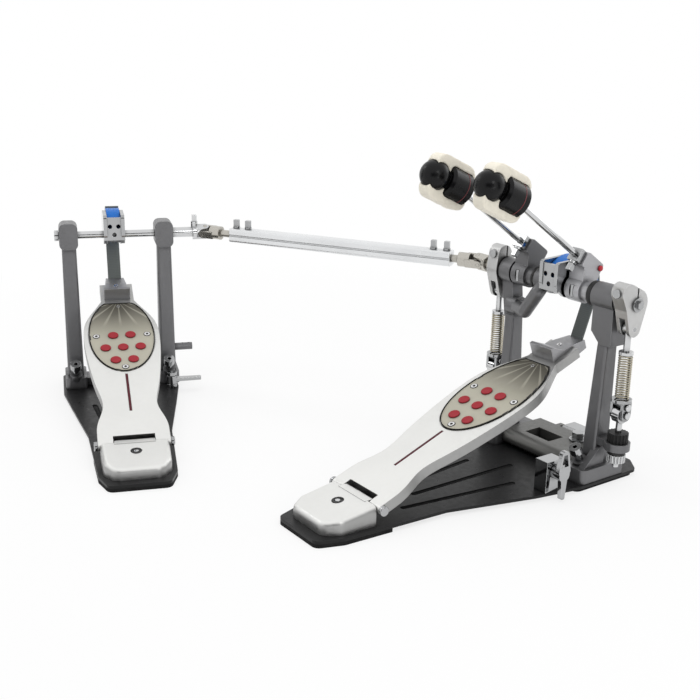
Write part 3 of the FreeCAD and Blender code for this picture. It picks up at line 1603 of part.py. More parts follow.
def slave_axle():
    """The slave axle in its own frame: shaft, end cap, neck and key boss."""
    cap_end = slave_left_post_x - slave_head_wide / 2 - run_gap
    neck_x0 = slave_right_post_x + slave_head_wide / 2 + run_gap
    neck_x1 = slave_joint_x - fork_base_near
    shaft = rod_x(slave_axle_radius, cap_end, neck_x0)
    cap = rod_x(slave_axle_cap_radius, cap_end - slave_axle_cap_long, cap_end)
    neck = rod_x(slave_neck_radius, neck_x0, neck_x1)
    boss = rod_z(key_collar_radius, 0.0, key_seat(), slave_key_x, 0.0)
    body = as_slave(on_axle(fuse(shaft, cap, neck, boss)))
    joint = fork(joint_points()[0], slave_direction(V(-1, 0, 0)), joint_frame()[3], open_pin_gap)
    key = key_bolt(V(slave_key_x, 0, key_seat()), AXIS_Z)
    return Part.makeCompound([fuse(body, joint), as_slave(on_axle(key))])


# All nodes

def pedal_nodes(prefix, front_half, front, place):
    """The pieces that both pedals share, under their own names."""
    return {prefix + "_base_plate": place(base_plate(front_half, front)),
            prefix + "_floor_pads": place(floor_pads(front_half, front)),
            prefix + "_heel_plate": place(heel_plate()),
            prefix + "_footboard": place(on_board(footboard())),
            prefix + "_grip_plate": place(on_board(grip_plate())),
            prefix + "_grip_studs": place(on_board(grip_studs())),
            prefix + "_board_screws": place(on_board(board_screws())),
            prefix + "_toe_block": place(toe_block()),
            prefix + "_belt": place(belt_shape(0.0)),
            prefix + "_cam_face": place(cam_face())}


def as_main(shape):
    """The main pedal stands in the shared frame as it is."""
    return shape


def beater_nodes(prefix, place, side, boss_deg):
    """One beater with its holder, clamp, rocker and spring linkage."""
    fittings = rod_clamp(place) + [slot_bolt(place)] + rocker_bolts(side, boss_deg)
    return {prefix + "_holder": holder(place, holder_half),
            prefix + "_fittings": Part.makeCompound(fittings),
            prefix + "_rod": beater_rod(place),
            prefix + "_head_core": on_beater(head_core_upright(place)),
            prefix + "_head_felt": head_felt(place),
            prefix + "_rocker": rocker(side, boss_deg),
            prefix + "_stirrup": stirrup(side),
            prefix + "_spring": spring(side),
            prefix + "_spring_link": lower_link(side),
            prefix + "_tension_nut": tension_nut(side)}


def all_nodes():
    """Every node of the pedal with its solids in place."""
    shaft, main_pin, shaft_pin, slave_pin = joint_frame()
    slave_point, main_point = joint_points()
    nodes = pedal_nodes("main", main_plate_half, main_plate_front, as_main)
    nodes.update(pedal_nodes("slave", slave_plate_half, slave_plate_front, as_slave))
    nodes.update(beater_nodes("right", right_rod_x, 1, right_boss_deg))
    nodes.update(beater_nodes("left", left_rod_x, -1, left_boss_deg))
    spurs = [spur(right_foot_x0 + spur_boss_radius + post_edge, foot_tall),
             spur(left_foot_x1 - spur_boss_radius - post_edge, foot_tall)]
    slave_spurs = [spur(x, slave_foot_tall) for x in (slave_left_post_x, slave_right_post_x)]
    nodes["main_bolts"] = Part.makeCompound([hinge_pin(), heel_bolt(), deck_bolt(), jaw_pin(),
                                             lever_bracket()] + spurs)
    nodes["slave_bolts"] = as_slave(Part.makeCompound([hinge_pin(), heel_bolt(), wing_stud()] + slave_spurs))
    nodes["tension_rods"] = Part.makeCompound(tension_rod(1) + tension_rod(-1))
    nodes["main_cam_carrier"] = carrier(axle_radius)
    nodes["slave_cam_carrier"] = as_slave(carrier(slave_axle_radius))
    nodes["right_axle"] = right_axle()
    nodes["left_axle"] = left_axle()
    nodes["right_post"] = right_post()
    nodes["left_post"] = left_post()
    nodes["crossbar"] = crossbar()
    nodes["clamp_jaw"] = clamp_jaw()
    nodes["clamp_lever"] = clamp_lever()
    nodes["main_cross"] = cross(main_point, main_pin, shaft_pin)
    nodes["slave_cross"] = cross(slave_point, slave_pin, shaft_pin)
    nodes["shaft_tube"] = shaft_tube()
    nodes["shaft_rods"] = shaft_rods()
    nodes["shaft_keys"] = shaft_keys()
    nodes["slave_posts"] = as_slave(slave_posts())
    nodes["slave_wing"] = as_slave(slave_wing())
    nodes["slave_axle"] = slave_axle()
    return nodes


def main():
    """Build every node and write one file each."""
    os.makedirs("parts", exist_ok=True)
    for name, shape in all_nodes().items():
        shape.exportStep(os.path.join("parts", name + ".step"))
    print("least gap between spring turns %.2f mm" % spring_gap())


main()
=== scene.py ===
# %% [markdown]
# # A double bass drum pedal
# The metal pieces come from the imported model, at their real size and in their real place. This lesson gives
# them their finishes and adds what is soft, wound or painted: felt, belts, springs, rubber and inlays.

# %% Load the frame
import bmesh
import json
import math
import bpy
from mathutils import Matrix, Vector


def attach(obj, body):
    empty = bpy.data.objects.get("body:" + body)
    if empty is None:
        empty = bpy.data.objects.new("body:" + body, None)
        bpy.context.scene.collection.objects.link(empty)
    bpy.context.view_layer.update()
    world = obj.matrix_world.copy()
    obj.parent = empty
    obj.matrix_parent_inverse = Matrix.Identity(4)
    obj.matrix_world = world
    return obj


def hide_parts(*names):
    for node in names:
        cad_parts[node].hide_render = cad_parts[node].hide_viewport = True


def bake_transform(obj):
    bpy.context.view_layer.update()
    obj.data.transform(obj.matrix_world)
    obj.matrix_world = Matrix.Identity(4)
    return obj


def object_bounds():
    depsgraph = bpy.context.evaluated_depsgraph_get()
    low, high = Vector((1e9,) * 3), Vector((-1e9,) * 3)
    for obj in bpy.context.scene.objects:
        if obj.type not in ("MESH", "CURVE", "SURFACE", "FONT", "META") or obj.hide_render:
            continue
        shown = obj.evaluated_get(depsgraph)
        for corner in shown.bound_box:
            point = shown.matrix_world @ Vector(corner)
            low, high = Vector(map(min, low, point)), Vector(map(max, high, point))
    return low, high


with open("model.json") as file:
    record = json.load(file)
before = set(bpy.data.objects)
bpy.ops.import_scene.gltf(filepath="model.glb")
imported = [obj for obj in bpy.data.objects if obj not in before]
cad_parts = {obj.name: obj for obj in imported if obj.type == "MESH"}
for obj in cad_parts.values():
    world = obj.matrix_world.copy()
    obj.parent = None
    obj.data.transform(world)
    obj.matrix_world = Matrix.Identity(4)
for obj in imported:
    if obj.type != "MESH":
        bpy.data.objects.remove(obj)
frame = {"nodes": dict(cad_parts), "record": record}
cad_low, cad_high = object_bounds()
bpy.ops.object.select_all(action="DESELECT")
print("nodes", len(frame["nodes"]), "box", tuple(cad_high - cad_low))

# %% [markdown]
# ## Camera
# The photograph was taken with a short telephoto lens, from the player's right and a little above the
# beaters. The camera is built from its own three axes, so that its slight roll can be set exactly.

# %% Camera
camera_place = Vector((0.7468, -0.81498, 0.45477))
camera_target = Vector((-0.19109, -0.13058, 0.096))
camera_roll = math.radians(1.2)
camera_lens_mm = 55.3

back = (camera_place - camera_target).normalized()
level = Vector((0, 0, 1)).cross(back).normalized()
upright = back.cross(level)
right = math.cos(camera_roll) * level + math.sin(camera_roll) * upright
top = math.cos(camera_roll) * upright - math.sin(camera_roll) * level
camera_turn = Matrix((right, top, back)).transposed().to_4x4()
bpy.ops.object.camera_add()
camera = bpy.context.object
camera.matrix_world = Matrix.Translation(camera_place) @ camera_turn
camera.data.lens = camera_lens_mm
bpy.context.scene.camera = camera
bpy.context.scene.view_settings.view_transform = "Standard"
print("camera", tuple(camera.location))

# %% [markdown]
# ## Light
# A product table: one large soft lamp overhead, a strip on each side for long highlights along the rods,
# and a wide fill from the drum's side. The overhead lamp is kept out of reflections, where it would wash
# out the metal.

# %% Lamps
stage_middle = (cad_low + cad_high) / 2


def soft_lamp(name, place, size, power):
    """A rectangular lamp that looks at the middle of the object."""
    bpy.ops.object.light_add(type="AREA", location=place)
    lamp = bpy.context.object
    lamp.name = name
    lamp.data.shape = "RECTANGLE"
    lamp.data.size, lamp.data.size_y = size
    lamp.data.energy = power
    lamp.rotation_euler = (stage_middle - Vector(place)).to_track_quat("-Z", "Y").to_euler()
    return lamp


overhead = soft_lamp("overhead", place=(-0.2, -0.2, 1.6), size=(1.8, 1.6), power=15)
overhead.visible_glossy = False
soft_lamp("right_strip", place=(1.5, -0.5, 0.7), size=(0.4, 1.4), power=6)
soft_lamp("left_strip", place=(-1.7, -0.9, 0.8), size=(0.4, 1.4), power=5)
soft_lamp("rear_fill", place=(-0.1, 1.5, 0.9), size=(1.6, 0.7), power=4)
print("lamps", len(bpy.data.lights))

# %% [markdown]
# ## Dark cards
# Polished metal shows only what stands round it. In an all-white room it would vanish into the white
# background, so photographers stand dark cards just outside the picture. These cards are seen by
# reflections alone.

# %% Cards
behind_camera = 0.35


def new_material(name):
    """An empty finish, with its nodes and its Principled shader."""
    material = bpy.data.materials.new(name)
    material.use_nodes = True
    return material, material.node_tree, material.node_tree.nodes["Principled BSDF"]


card_paint, _, card_shader = new_material("dark_card")
card_shader.inputs["Base Color"].default_value = (0.03, 0.03, 0.03, 1)
card_shader.inputs["Roughness"].default_value = 0.9


def dark_card(name, place, wide, tall):
    """A dark card that faces the middle of the object and shows only in reflections."""
    bpy.ops.mesh.primitive_plane_add(size=1, location=place)
    card = bpy.context.object
    card.name = name
    card.scale = (wide, tall, 1)
    card.rotation_euler = (stage_middle - Vector(place)).to_track_quat("Z", "Y").to_euler()
    card.visible_camera = card.visible_diffuse = card.visible_shadow = card.visible_transmission = False
    card.data.materials.append(card_paint)


dark_card("camera_card", camera_place + behind_camera * back, wide=1.6, tall=0.7)
dark_card("left_card", (-1.15, -0.75, 0.3), wide=0.35, tall=1.2)
dark_card("right_card", (0.95, 0.35, 0.3), wide=0.35, tall=1.0)
dark_card("rear_card", (-0.75, 1.0, 0.85), wide=0.9, tall=0.12)
print("cards share", card_paint.name)

# %% [markdown]
# ## World
# The room is white to the camera and to reflections, but lights the object only gently, so that its shadows
# stay. A Light Path node tells a ray that is seen from one that only carries light. Shaders are chains of
# small nodes, and most of these are sums, ranges and mixes. By hand each is dropped in and wired up. Here
# one short function makes each kind, and takes either another node's socket or a plain value.

# %% World
world = bpy.data.worlds.new("studio")
bpy.context.scene.world = world
world.use_nodes = True
sky = world.node_tree
sky.nodes.clear()
print("world", world.name)


# %% White where it is seen
def feed(tree, socket, given):
    """Link a socket to another one, or set it to a plain value."""
    if isinstance(given, bpy.types.NodeSocket):
        tree.links.new(given, socket)
    else:
        socket.default_value = given


def maths(tree, operation, first, second=None):
    """The result of a Math node on one or two values."""
    node = tree.nodes.new("ShaderNodeMath")
    node.operation = operation
    feed(tree, node.inputs[0], first)
    if second is not None:
        feed(tree, node.inputs[1], second)
    return node.outputs[0]


def seen_directly(tree):
    """One where a ray comes from the camera, a reflection or glass, nought where it only carries light."""
    path = tree.nodes.new("ShaderNodeLightPath")
    either = maths(tree, "MAXIMUM", path.outputs["Is Camera Ray"], path.outputs["Is Glossy Ray"])
    return maths(tree, "MAXIMUM", either, path.outputs["Is Transmission Ray"])


gentle = sky.nodes.new("ShaderNodeBackground")
gentle.inputs["Color"].default_value = (1, 1, 1, 1)
gentle.inputs["Strength"].default_value = 0.5
white = sky.nodes.new("ShaderNodeBackground")
white.inputs["Color"].default_value = (1, 1, 1, 1)
white.inputs["Strength"].default_value = 1.0
either_sky = sky.nodes.new("ShaderNodeMixShader")
sky.links.new(seen_directly(sky), either_sky.inputs["Fac"])
sky.links.new(gentle.outputs[0], either_sky.inputs[1])
sky.links.new(white.outputs[0], either_sky.inputs[2])
sky_out = sky.nodes.new("ShaderNodeOutputWorld")
sky.links.new(either_sky.outputs[0], sky_out.inputs["Surface"])
print("world nodes", len(sky.nodes))

# %% [markdown]
# ## Floor
# The floor is a matt white sheet. Near the object it is lit like paper, so it keeps the soft shadow.
# Further away it glows to white for the camera and for reflections only, so that no horizon shows.

# %% Floor
floor_wide = 16
bpy.ops.mesh.primitive_plane_add(size=floor_wide, location=(0, 0, cad_low.z))
floor = bpy.context.object
floor.name = "floor"
paper, sheet, sheet_shader = new_material("paper_floor")
sheet_shader.inputs["Base Color"].default_value = (0.9, 0.9, 0.9, 1)
sheet_shader.inputs["Roughness"].default_value = 0.9
sheet_shader.inputs["Specular IOR Level"].default_value = 0.1
floor.data.materials.append(paper)
print("floor", floor.name, floor_wide, "m wide")

# %% Floor glow
glow_start, glow_end = 0.25, 0.9
glow_near, glow_far = 0.75, 1.0


def spread(tree, value, low, high, to_low=0.0, to_high=1.0, smoothly=False):
    """A value carried from one range to another, and held at the ends."""
    node = tree.nodes.new("ShaderNodeMapRange")
    if smoothly:
        node.interpolation_type = "SMOOTHSTEP"
    ends = {"Value": value, "From Min": low, "From Max": high, "To Min": to_low, "To Max": to_high}
    for socket, given in ends.items():
        feed(tree, node.inputs[socket], given)
    return node.outputs["Result"]


sheet_place = sheet.nodes.new("ShaderNodeTexCoord")
from_middle = sheet.nodes.new("ShaderNodeVectorMath")
from_middle.operation = "DISTANCE"
from_middle.inputs[1].default_value = (stage_middle.x, stage_middle.y, 0)
sheet.links.new(sheet_place.outputs["Object"], from_middle.inputs[0])
glow = spread(sheet, from_middle.outputs["Value"], glow_start, glow_end, glow_near, glow_far)
pure_white = sheet.nodes.new("ShaderNodeEmission")
pure_white.inputs["Strength"].default_value = 1.0
paper_or_white = sheet.nodes.new("ShaderNodeMixShader")
sheet.links.new(maths(sheet, "MULTIPLY", glow, seen_directly(sheet)), paper_or_white.inputs["Fac"])
sheet.links.new(sheet_shader.outputs[0], paper_or_white.inputs[1])
sheet.links.new(pure_white.outputs[0], paper_or_white.inputs[2])
sheet.links.new(paper_or_white.outputs[0], sheet.nodes["Material Output"].inputs["Surface"])
print("floor glows from", glow_start, "m on")

# %% [markdown]
# ## Shared effects
# Each finish is a Principled shader with its own plain numbers. What several finishes share is a node
# group: `grain` spreads noise between two values, one group finds the edges, which are lightened partly as
# rubbed wear and partly as a painted highlight, and one darkens the corners with painted shade, where other
# faces keep light out. A group is built once and placed in each material with its own values.

# %% Grain
NUMBER, DIRECTION = "NodeSocketFloat", "NodeSocketVector"


def new_group(name, inputs, outputs):
    """An empty shader group with named sockets."""
    group = bpy.data.node_groups.new(name, "ShaderNodeTree")
    for socket, kind, value in inputs:
        made = group.interface.new_socket(name=socket, in_out="INPUT", socket_type=kind)
        if value is not None:
            made.default_value = value
    for socket, kind in outputs:
        group.interface.new_socket(name=socket, in_out="OUTPUT", socket_type=kind)
    return group, group.nodes.new("NodeGroupInput"), group.nodes.new("NodeGroupOutput")


def grain_group():
    """Noise at a given scale, spread between a low and a high value."""
    ends = (("Scale", NUMBER, 400.0), ("Low", NUMBER, 0.0), ("High", NUMBER, 1.0))
    group, given, out = new_group("grain", ends, (("Value", NUMBER),))
    place = group.nodes.new("ShaderNodeTexCoord")
    noise = group.nodes.new("ShaderNodeTexNoise")
    noise.inputs["Detail"].default_value = 4
    group.links.new(place.outputs["Object"], noise.inputs["Vector"])
    group.links.new(given.outputs["Scale"], noise.inputs["Scale"])
    grains = spread(group, noise.outputs["Fac"], low=0.3, high=0.7, to_low=given.outputs["Low"],
                    to_high=given.outputs["High"])
    group.links.new(grains, out.inputs["Value"])
    return group


grain = grain_group()
print("group", grain.name, len(grain.nodes))


# %% Edge wear and painted highlight
def add_group(tree, group, **values):
    """A group node in a material, with its own values."""
    node = tree.nodes.new("ShaderNodeGroup")
    node.node_tree = group
    for socket, value in values.items():
        node.inputs[socket].default_value = value
    return node


def wear_and_highlight_group():
    """Where a softened normal leaves the real one is an edge, lightened as rubbed wear and as a painted
    highlight.
    """
    group, given, out = new_group("edge_wear_and_highlight", (("Soft Normal", DIRECTION, None),), (("Mask", NUMBER),))
    shape = group.nodes.new("ShaderNodeNewGeometry")
    same = group.nodes.new("ShaderNodeVectorMath")
    same.operation = "DOT_PRODUCT"
    group.links.new(given.outputs["Soft Normal"], same.inputs[0])
    group.links.new(shape.outputs["Normal"], same.inputs[1])
    edge = spread(group, same.outputs["Value"], low=0.995, high=0.90)
    patches = add_group(group, grain, Scale=220.0, Low=0.35, High=1.0)
    group.links.new(maths(group, "MULTIPLY", edge, patches.outputs["Value"]), out.inputs["Mask"])
    return group


edge_wear_and_highlight = wear_and_highlight_group()
print("group", edge_wear_and_highlight.name, len(edge_wear_and_highlight.nodes))


# %% Painted corner shade
def corner_shade_group():
    """Painted shade: dark where other faces stand close and keep light out."""
    group, given, out = new_group("corner_shade", (("Reach", NUMBER, 0.006),), (("Value", NUMBER),))
    near = group.nodes.new("ShaderNodeAmbientOcclusion")
    near.samples = 8
    group.links.new(given.outputs["Reach"], near.inputs["Distance"])
    group.links.new(spread(group, near.outputs["AO"], low=0.25, high=0.95), out.inputs["Value"])
    return group


corner_shade = corner_shade_group()
print("group", corner_shade.name, len(corner_shade.nodes))

# %% [markdown]
# ## The common finish
# Metal, paint and plastic differ in a few numbers: colour, how metallic and how rough they are, and how
# fine and deep their grain is. One function makes them all. A Bevel node softens the normal at sharp
# corners, as casting and plating do, and its softened normal also finds the edges, which are lightened
# partly as rubbed wear and partly as a painted highlight.

# %% Tone and relief
slow_drift = 14.0


def mix(tree, factor, first, second, blend="MIX"):
    """Two colours mixed by a factor."""
    node = tree.nodes.new("ShaderNodeMix")
    node.data_type = "RGBA"
    node.blend_type = blend
    for socket, given in {"Factor": factor, "A": first, "B": second}.items():
        feed(tree, node.inputs[socket], given)
    return node.outputs["Result"]


def tinted(tree, colour, tone, drift_scale=slow_drift):
    """A colour with a slow drift of tone, ready for Base Color."""
    drift = add_group(tree, grain, Scale=drift_scale, Low=1 - tone, High=1 + tone)
    return mix(tree, 1.0, (*colour, 1), drift.outputs["Value"], "MULTIPLY")


def raise_surface(tree, shader, height, strength, depth):
    """A Bump node between a height and the shader's normal."""
    raised = tree.nodes.new("ShaderNodeBump")
    raised.inputs["Strength"].default_value = strength
    raised.inputs["Distance"].default_value = depth
    tree.links.new(height, raised.inputs["Height"])
    tree.links.new(raised.outputs["Normal"], shader.inputs["Normal"])
    return raised


print("tone drifts at scale", slow_drift)

# %% The common finish
edge_radius, corner_shade_reach, grain_depth = 0.0007, 0.006, 0.001
coarser, smoothest, roughest = 6, 0.8, 1.2


def finish(name, colour, metallic, rough, scale=500.0, bump=0.02, tone=0.08, gloss=0.5, wear_and_highlight=0.0, corner_shade_strength=0.6):
    """Drift of tone, grain in roughness and bump, soft edges lightened as wear and painted highlight, corners
    in painted shade.
    """
    material, tree, shader = new_material(name)
    shader.inputs["Metallic"].default_value = metallic
    shader.inputs["Specular IOR Level"].default_value = gloss
    soft_edge = tree.nodes.new("ShaderNodeBevel")
    soft_edge.samples = 4
    soft_edge.inputs["Radius"].default_value = edge_radius
    skin = tinted(tree, colour, tone)
    # The edges are lightened, partly as rubbed wear and partly as a painted highlight.
    if wear_and_highlight:
        worn_and_lit = add_group(tree, edge_wear_and_highlight)
        tree.links.new(soft_edge.outputs["Normal"], worn_and_lit.inputs["Soft Normal"])
        rubbed_and_lit = (*(min(1.0, part * wear_and_highlight) for part in colour), 1)
        skin = mix(tree, worn_and_lit.outputs["Mask"], skin, rubbed_and_lit)
    # Painted shade: the colour darkens in corners, where other faces keep light out.
    if corner_shade_strength:
        corner = add_group(tree, corner_shade, Reach=corner_shade_reach)
        skin = mix(tree, corner_shade_strength, skin, corner.outputs["Value"], "MULTIPLY")
    tree.links.new(skin, shader.inputs["Base Color"])
    rougher = add_group(tree, grain, Scale=scale / coarser, Low=rough * smoothest, High=rough * roughest)
    tree.links.new(rougher.outputs["Value"], shader.inputs["Roughness"])
    fine = add_group(tree, grain, Scale=scale)
    raised = raise_surface(tree, shader, fine.outputs["Value"], bump, grain_depth)
    tree.links.new(soft_edge.outputs["Normal"], raised.inputs["Normal"])
    return material


print("edges are softened by", edge_radius, "m")

# %% [markdown]
# ## Finishes of the CAD pieces
# Silver castings, grey cast paint, chrome, black plate and the rest. The colours were read from the
# photograph. The plain numbers in each row are how metallic and how rough the finish is, then the scale and
# the height of its grain, then the drift of its tone.

# %% Finishes by slot
slot_finish = {
    "plate_black": finish("satin_black_plate", (0.013, 0.013, 0.0135), 0.0, 0.34, 900, 0.05, gloss=0.2,
                          wear_and_highlight=2.2, corner_shade_strength=0.9),
    "pad_rubber": finish("floor_rubber", (0.010, 0.010, 0.010), 0.0, 0.8, 700, 0.1, gloss=0.2),
    "cast_silver": finish("bright_cast", (0.80, 0.80, 0.78), 1.0, 0.40, 1200, 0.03, 0.03, wear_and_highlight=0.8, corner_shade_strength=0.4),
    "grip_sand": finish("sand_plate", (0.38, 0.36, 0.30), 0.5, 0.4, 900, 0.03),
    "stud_red": finish("red_rubber", (0.33, 0.024, 0.034), 0.0, 0.55, 800, 0.05, gloss=0.25, corner_shade_strength=0.9),
    "screw_steel": finish("screw_steel", (0.78, 0.78, 0.78), 1.0, 0.22),
    "toe_grey": finish("toe_cast", (0.37, 0.37, 0.38), 0.9, 0.42, 1400, 0.08, wear_and_highlight=1.5),
    "belt_grey": finish("belt_plain", (0.15, 0.165, 0.16), 0.0, 0.7),
    "chrome_parts": finish("chrome", (0.62, 0.625, 0.63), 1.0, 0.07, 300, 0.004, 0.03, corner_shade_strength=0.9),
    "cast_dark": finish("dark_cast", (0.165, 0.165, 0.17), 0.65, 0.36, 1400, 0.10, gloss=0.4, wear_and_highlight=1.9,
                        corner_shade_strength=0.9),
    "cast_mid": finish("mid_cast", (0.15, 0.15, 0.143), 0.65, 0.36, 1400, 0.10, gloss=0.4, wear_and_highlight=1.9,
                       corner_shade_strength=0.9),
    "cast_light": finish("light_cast", (0.44, 0.44, 0.455), 0.7, 0.36, 1400, 0.08, wear_and_highlight=1.4, corner_shade_strength=0.9),
    "cam_blue": finish("blue_cam", (0.001, 0.13, 0.50), 0.0, 0.3, 500, 0.01, gloss=0.3),
    "core_black": finish("black_core", (0.004, 0.004, 0.0045), 0.0, 0.26, 500, 0.01, gloss=0.22),
    "felt_cream": finish("cream_plain", (0.82, 0.76, 0.62), 0.0, 0.95, 900, 0.4),
    "rocker_cast": finish("rocker_cast", (0.56, 0.56, 0.555), 0.95, 0.38, 1400, 0.08, wear_and_highlight=1.5, corner_shade_strength=0.9),
    "spring_steel": finish("spring_wire", (0.48, 0.44, 0.34), 1.0, 0.22, 300, 0.005, 0.04, corner_shade_strength=0.9),
    "knob_black": finish("black_knob", (0.010, 0.010, 0.010), 0.0, 0.5, gloss=0.3, wear_and_highlight=2.5),
    "tube_alu": finish("shaft_aluminium", (0.78, 0.79, 0.80), 1.0, 0.30, 300, 0.003, 0.03),
    "joint_steel": finish("joint_steel", (0.52, 0.50, 0.455), 1.0, 0.24, 300, 0.005, 0.04, corner_shade_strength=0.9),
}


def give(node_name, material):
    """Put a finish on a CAD node."""
    frame["nodes"][node_name].data.materials.clear()
    frame["nodes"][node_name].data.materials.append(material)


for row in frame["record"]["subparts"]:
    give(row["node"], slot_finish[row["material_slot"]])
print("finishes", len(slot_finish))

# %% [markdown]
# ## Frames of the pedals
# Each pedal has its own frame, and its footboard a sloping one on the heel hinge. The beaters' holders lean
# back about the axle. A piece is modelled at the origin of such a frame and then put in its place.

# %% Frames of the pedals
axle_height = 0.196
slave_middle, slave_turn = (-0.4736, -0.2861, 0), math.radians(69.2)
heel_hinge, board_pitch = (0, -0.2568, 0.0223), math.radians(21)
rod_lean = math.radians(55.4)

slave_place = Matrix.Translation(slave_middle) @ Matrix.Rotation(slave_turn, 4, "Z")
pedal_place = {"main": Matrix(), "slave": slave_place}
board_slope = Matrix.Translation(heel_hinge) @ Matrix.Rotation(board_pitch, 4, "X")
board_place = {pedal: place @ board_slope for pedal, place in pedal_place.items()}
cam_body = {"main": "right_beater", "slave": "slave_cam"}
rod_tilt = Matrix.Translation((0, 0, axle_height)) @ Matrix.Rotation(rod_lean, 4, "X")
print("pedals", list(pedal_place))

# %% [markdown]
# ## Helpers for modelling
# An operator acts on all that is selected, so a piece is first selected alone. When it is done, its
# modifiers are applied, and its place goes into its mesh, so that its object sits at the origin as a CAD
# node's does.


# %% Helpers for modelling
def only(piece):
    """Select one piece and make it active."""
    bpy.ops.object.select_all(action="DESELECT")
    piece.select_set(True)
    bpy.context.view_layer.objects.active = piece


def apply_modifiers(piece):
    """Apply every modifier of a piece, in order."""
    only(piece)
    for modifier in list(piece.modifiers):
        bpy.ops.object.modifier_apply(modifier=modifier.name)


def keep_place():
    """Put the selected pieces' place, turn and scale into their meshes."""
    bpy.ops.object.transform_apply(location=True, rotation=True, scale=True)


def settle(piece, place, name, body, material):
    """Put a piece in its place, in its mesh, and let it ride on its body."""
    only(piece)
    piece.matrix_basis = place @ piece.matrix_basis
    keep_place()
    piece.name = piece.data.name = name
    piece.data.materials.clear()
    piece.data.materials.append(material)
    if body:
        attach(piece, body)


def smooth(piece, degrees=35):
    """Smooth shading that keeps sharp corners."""
    only(piece)
    bpy.ops.object.shade_smooth_by_angle(angle=math.radians(degrees))


print("nodes to dress", len(frame["nodes"]))

# %% [markdown]
# ## Springs
# Each pull spring is a close-wound coil of 1.6 mm wire. It could be a curve with a bevel. Here a small
# circle is carried round an axis by a Screw modifier, as a spring winder does, and its two ends are closed.

# %% Springs
spring_x = {"right": 0.0905, "left": -0.091}
spring_low, spring_high = 0.098, 0.144
wire_radius, coil_radius, coil_turns = 0.0008, 0.0064, 18
wire_sides, turn_steps = 12, 36

for side, x in spring_x.items():
    bpy.ops.mesh.primitive_circle_add(vertices=wire_sides, radius=wire_radius, location=(coil_radius, 0, 0),
                                      rotation=(math.pi / 2, 0, 0))
    coil = bpy.context.object
    keep_place()
    winding = coil.modifiers.new("winding", "SCREW")
    winding.angle = 2 * math.pi
    winding.iterations = coil_turns
    winding.screw_offset = (spring_high - spring_low - 2 * wire_radius) / coil_turns
    winding.steps = winding.render_steps = turn_steps
    apply_modifiers(coil)
    bpy.ops.object.mode_set(mode="EDIT")
    bpy.ops.mesh.select_all(action="DESELECT")
    bpy.ops.mesh.select_non_manifold()
    bpy.ops.mesh.edge_face_add()
    bpy.ops.mesh.select_all(action="SELECT")
    bpy.ops.mesh.normals_make_consistent(inside=False)
    bpy.ops.object.mode_set(mode="OBJECT")
    smooth(coil, 60)
    settle(coil, Matrix.Translation((x, 0, spring_low + wire_radius)), side + "_coil", None,
           slot_finish["spring_steel"])
    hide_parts(side + "_spring")
    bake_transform(coil)
    print(coil.name, len(coil.data.polygons))

# %% [markdown]
# ## Felt
# The beaters' felt is dense, matt and a little furry. Its nap is too fine to model, so two sizes of grain
# raise the surface, and a little sheen catches the light as loose fibres do.


# %% Felt finish
def felt_finish():
    """Cream felt: matt, with blotches of tone and a short nap."""
    material, tree, shader = new_material("cream_felt")
    shader.inputs["Roughness"].default_value = 0.95
    shader.inputs["Specular IOR Level"].default_value = 0.15
    shader.inputs["Sheen Weight"].default_value = 0.3
    shader.inputs["Sheen Roughness"].default_value = 0.6
    cream = tinted(tree, (0.88, 0.83, 0.71), tone=0.04, drift_scale=160.0)
    tree.links.new(cream, shader.inputs["Base Color"])
    nap = add_group(tree, grain, Scale=1500.0)
    clumps = add_group(tree, grain, Scale=420.0)
    fur = maths(tree, "ADD", nap.outputs["Value"], clumps.outputs["Value"])
    raise_surface(tree, shader, fur, strength=0.35, depth=0.0006)
    return material


felt = felt_finish()
print("felt", felt.name)

# %% [markdown]
# ## Felt pads
# A copy of the CAD pad is remeshed into small even faces, smoothed until its corners are round, and pushed
# in and out by a soft noise. Felt this dense keeps its shape, so nothing is simulated.

# %% Felt pads
felt_noise = bpy.data.textures.new("felt_noise", "CLOUDS")
felt_noise.noise_scale = 0.006


def copy_of_node(node_name):
    """A new object with its own merged copy of a CAD node's mesh."""
    piece = bpy.data.objects.new(node_name + "_copy", frame["nodes"][node_name].data.copy())
    bpy.context.scene.collection.objects.link(piece)
    only(piece)
    bpy.ops.object.mode_set(mode="EDIT")
    bpy.ops.mesh.select_all(action="SELECT")
    bpy.ops.mesh.remove_doubles(threshold=0.00001)
    bpy.ops.object.mode_set(mode="OBJECT")
    return piece


for side in ("right", "left"):
    pads = copy_of_node(side + "_head_felt")
    even = pads.modifiers.new("even", "REMESH")
    even.mode = "VOXEL"
    even.voxel_size = 0.0011
    rounder = pads.modifiers.new("rounder", "SMOOTH")
    rounder.factor = 0.5
    rounder.iterations = 10
    furry = pads.modifiers.new("furry", "DISPLACE")
    furry.texture = felt_noise
    furry.texture_coords = "GLOBAL"
    furry.strength = 0.0009
    furry.mid_level = 0.55
    apply_modifiers(pads)
    smooth(pads, 180)
    settle(pads, Matrix(), side + "_felt", side + "_striker", felt)
    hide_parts(side + "_head_felt")
    print(pads.name, len(pads.data.polygons))

# %% [markdown]
# ## Beater lines
# A thin dark red line runs round each beater's band. It could be painted on, but a thin open tube with a
# wall of its own keeps a crisp edge from near by. The head leans a little on its rod, about the top of its
# band.

# %% Beater lines
rod_x = {"right": 0.024, "left": -0.054}
rod_offset, head_offset = 0.0245, -0.004
band_top, head_tilt = 0.1635, math.radians(10)
line_radius, line_wide, line_thick, line_height = 0.01715, 0.0011, 0.0003, 0.1425

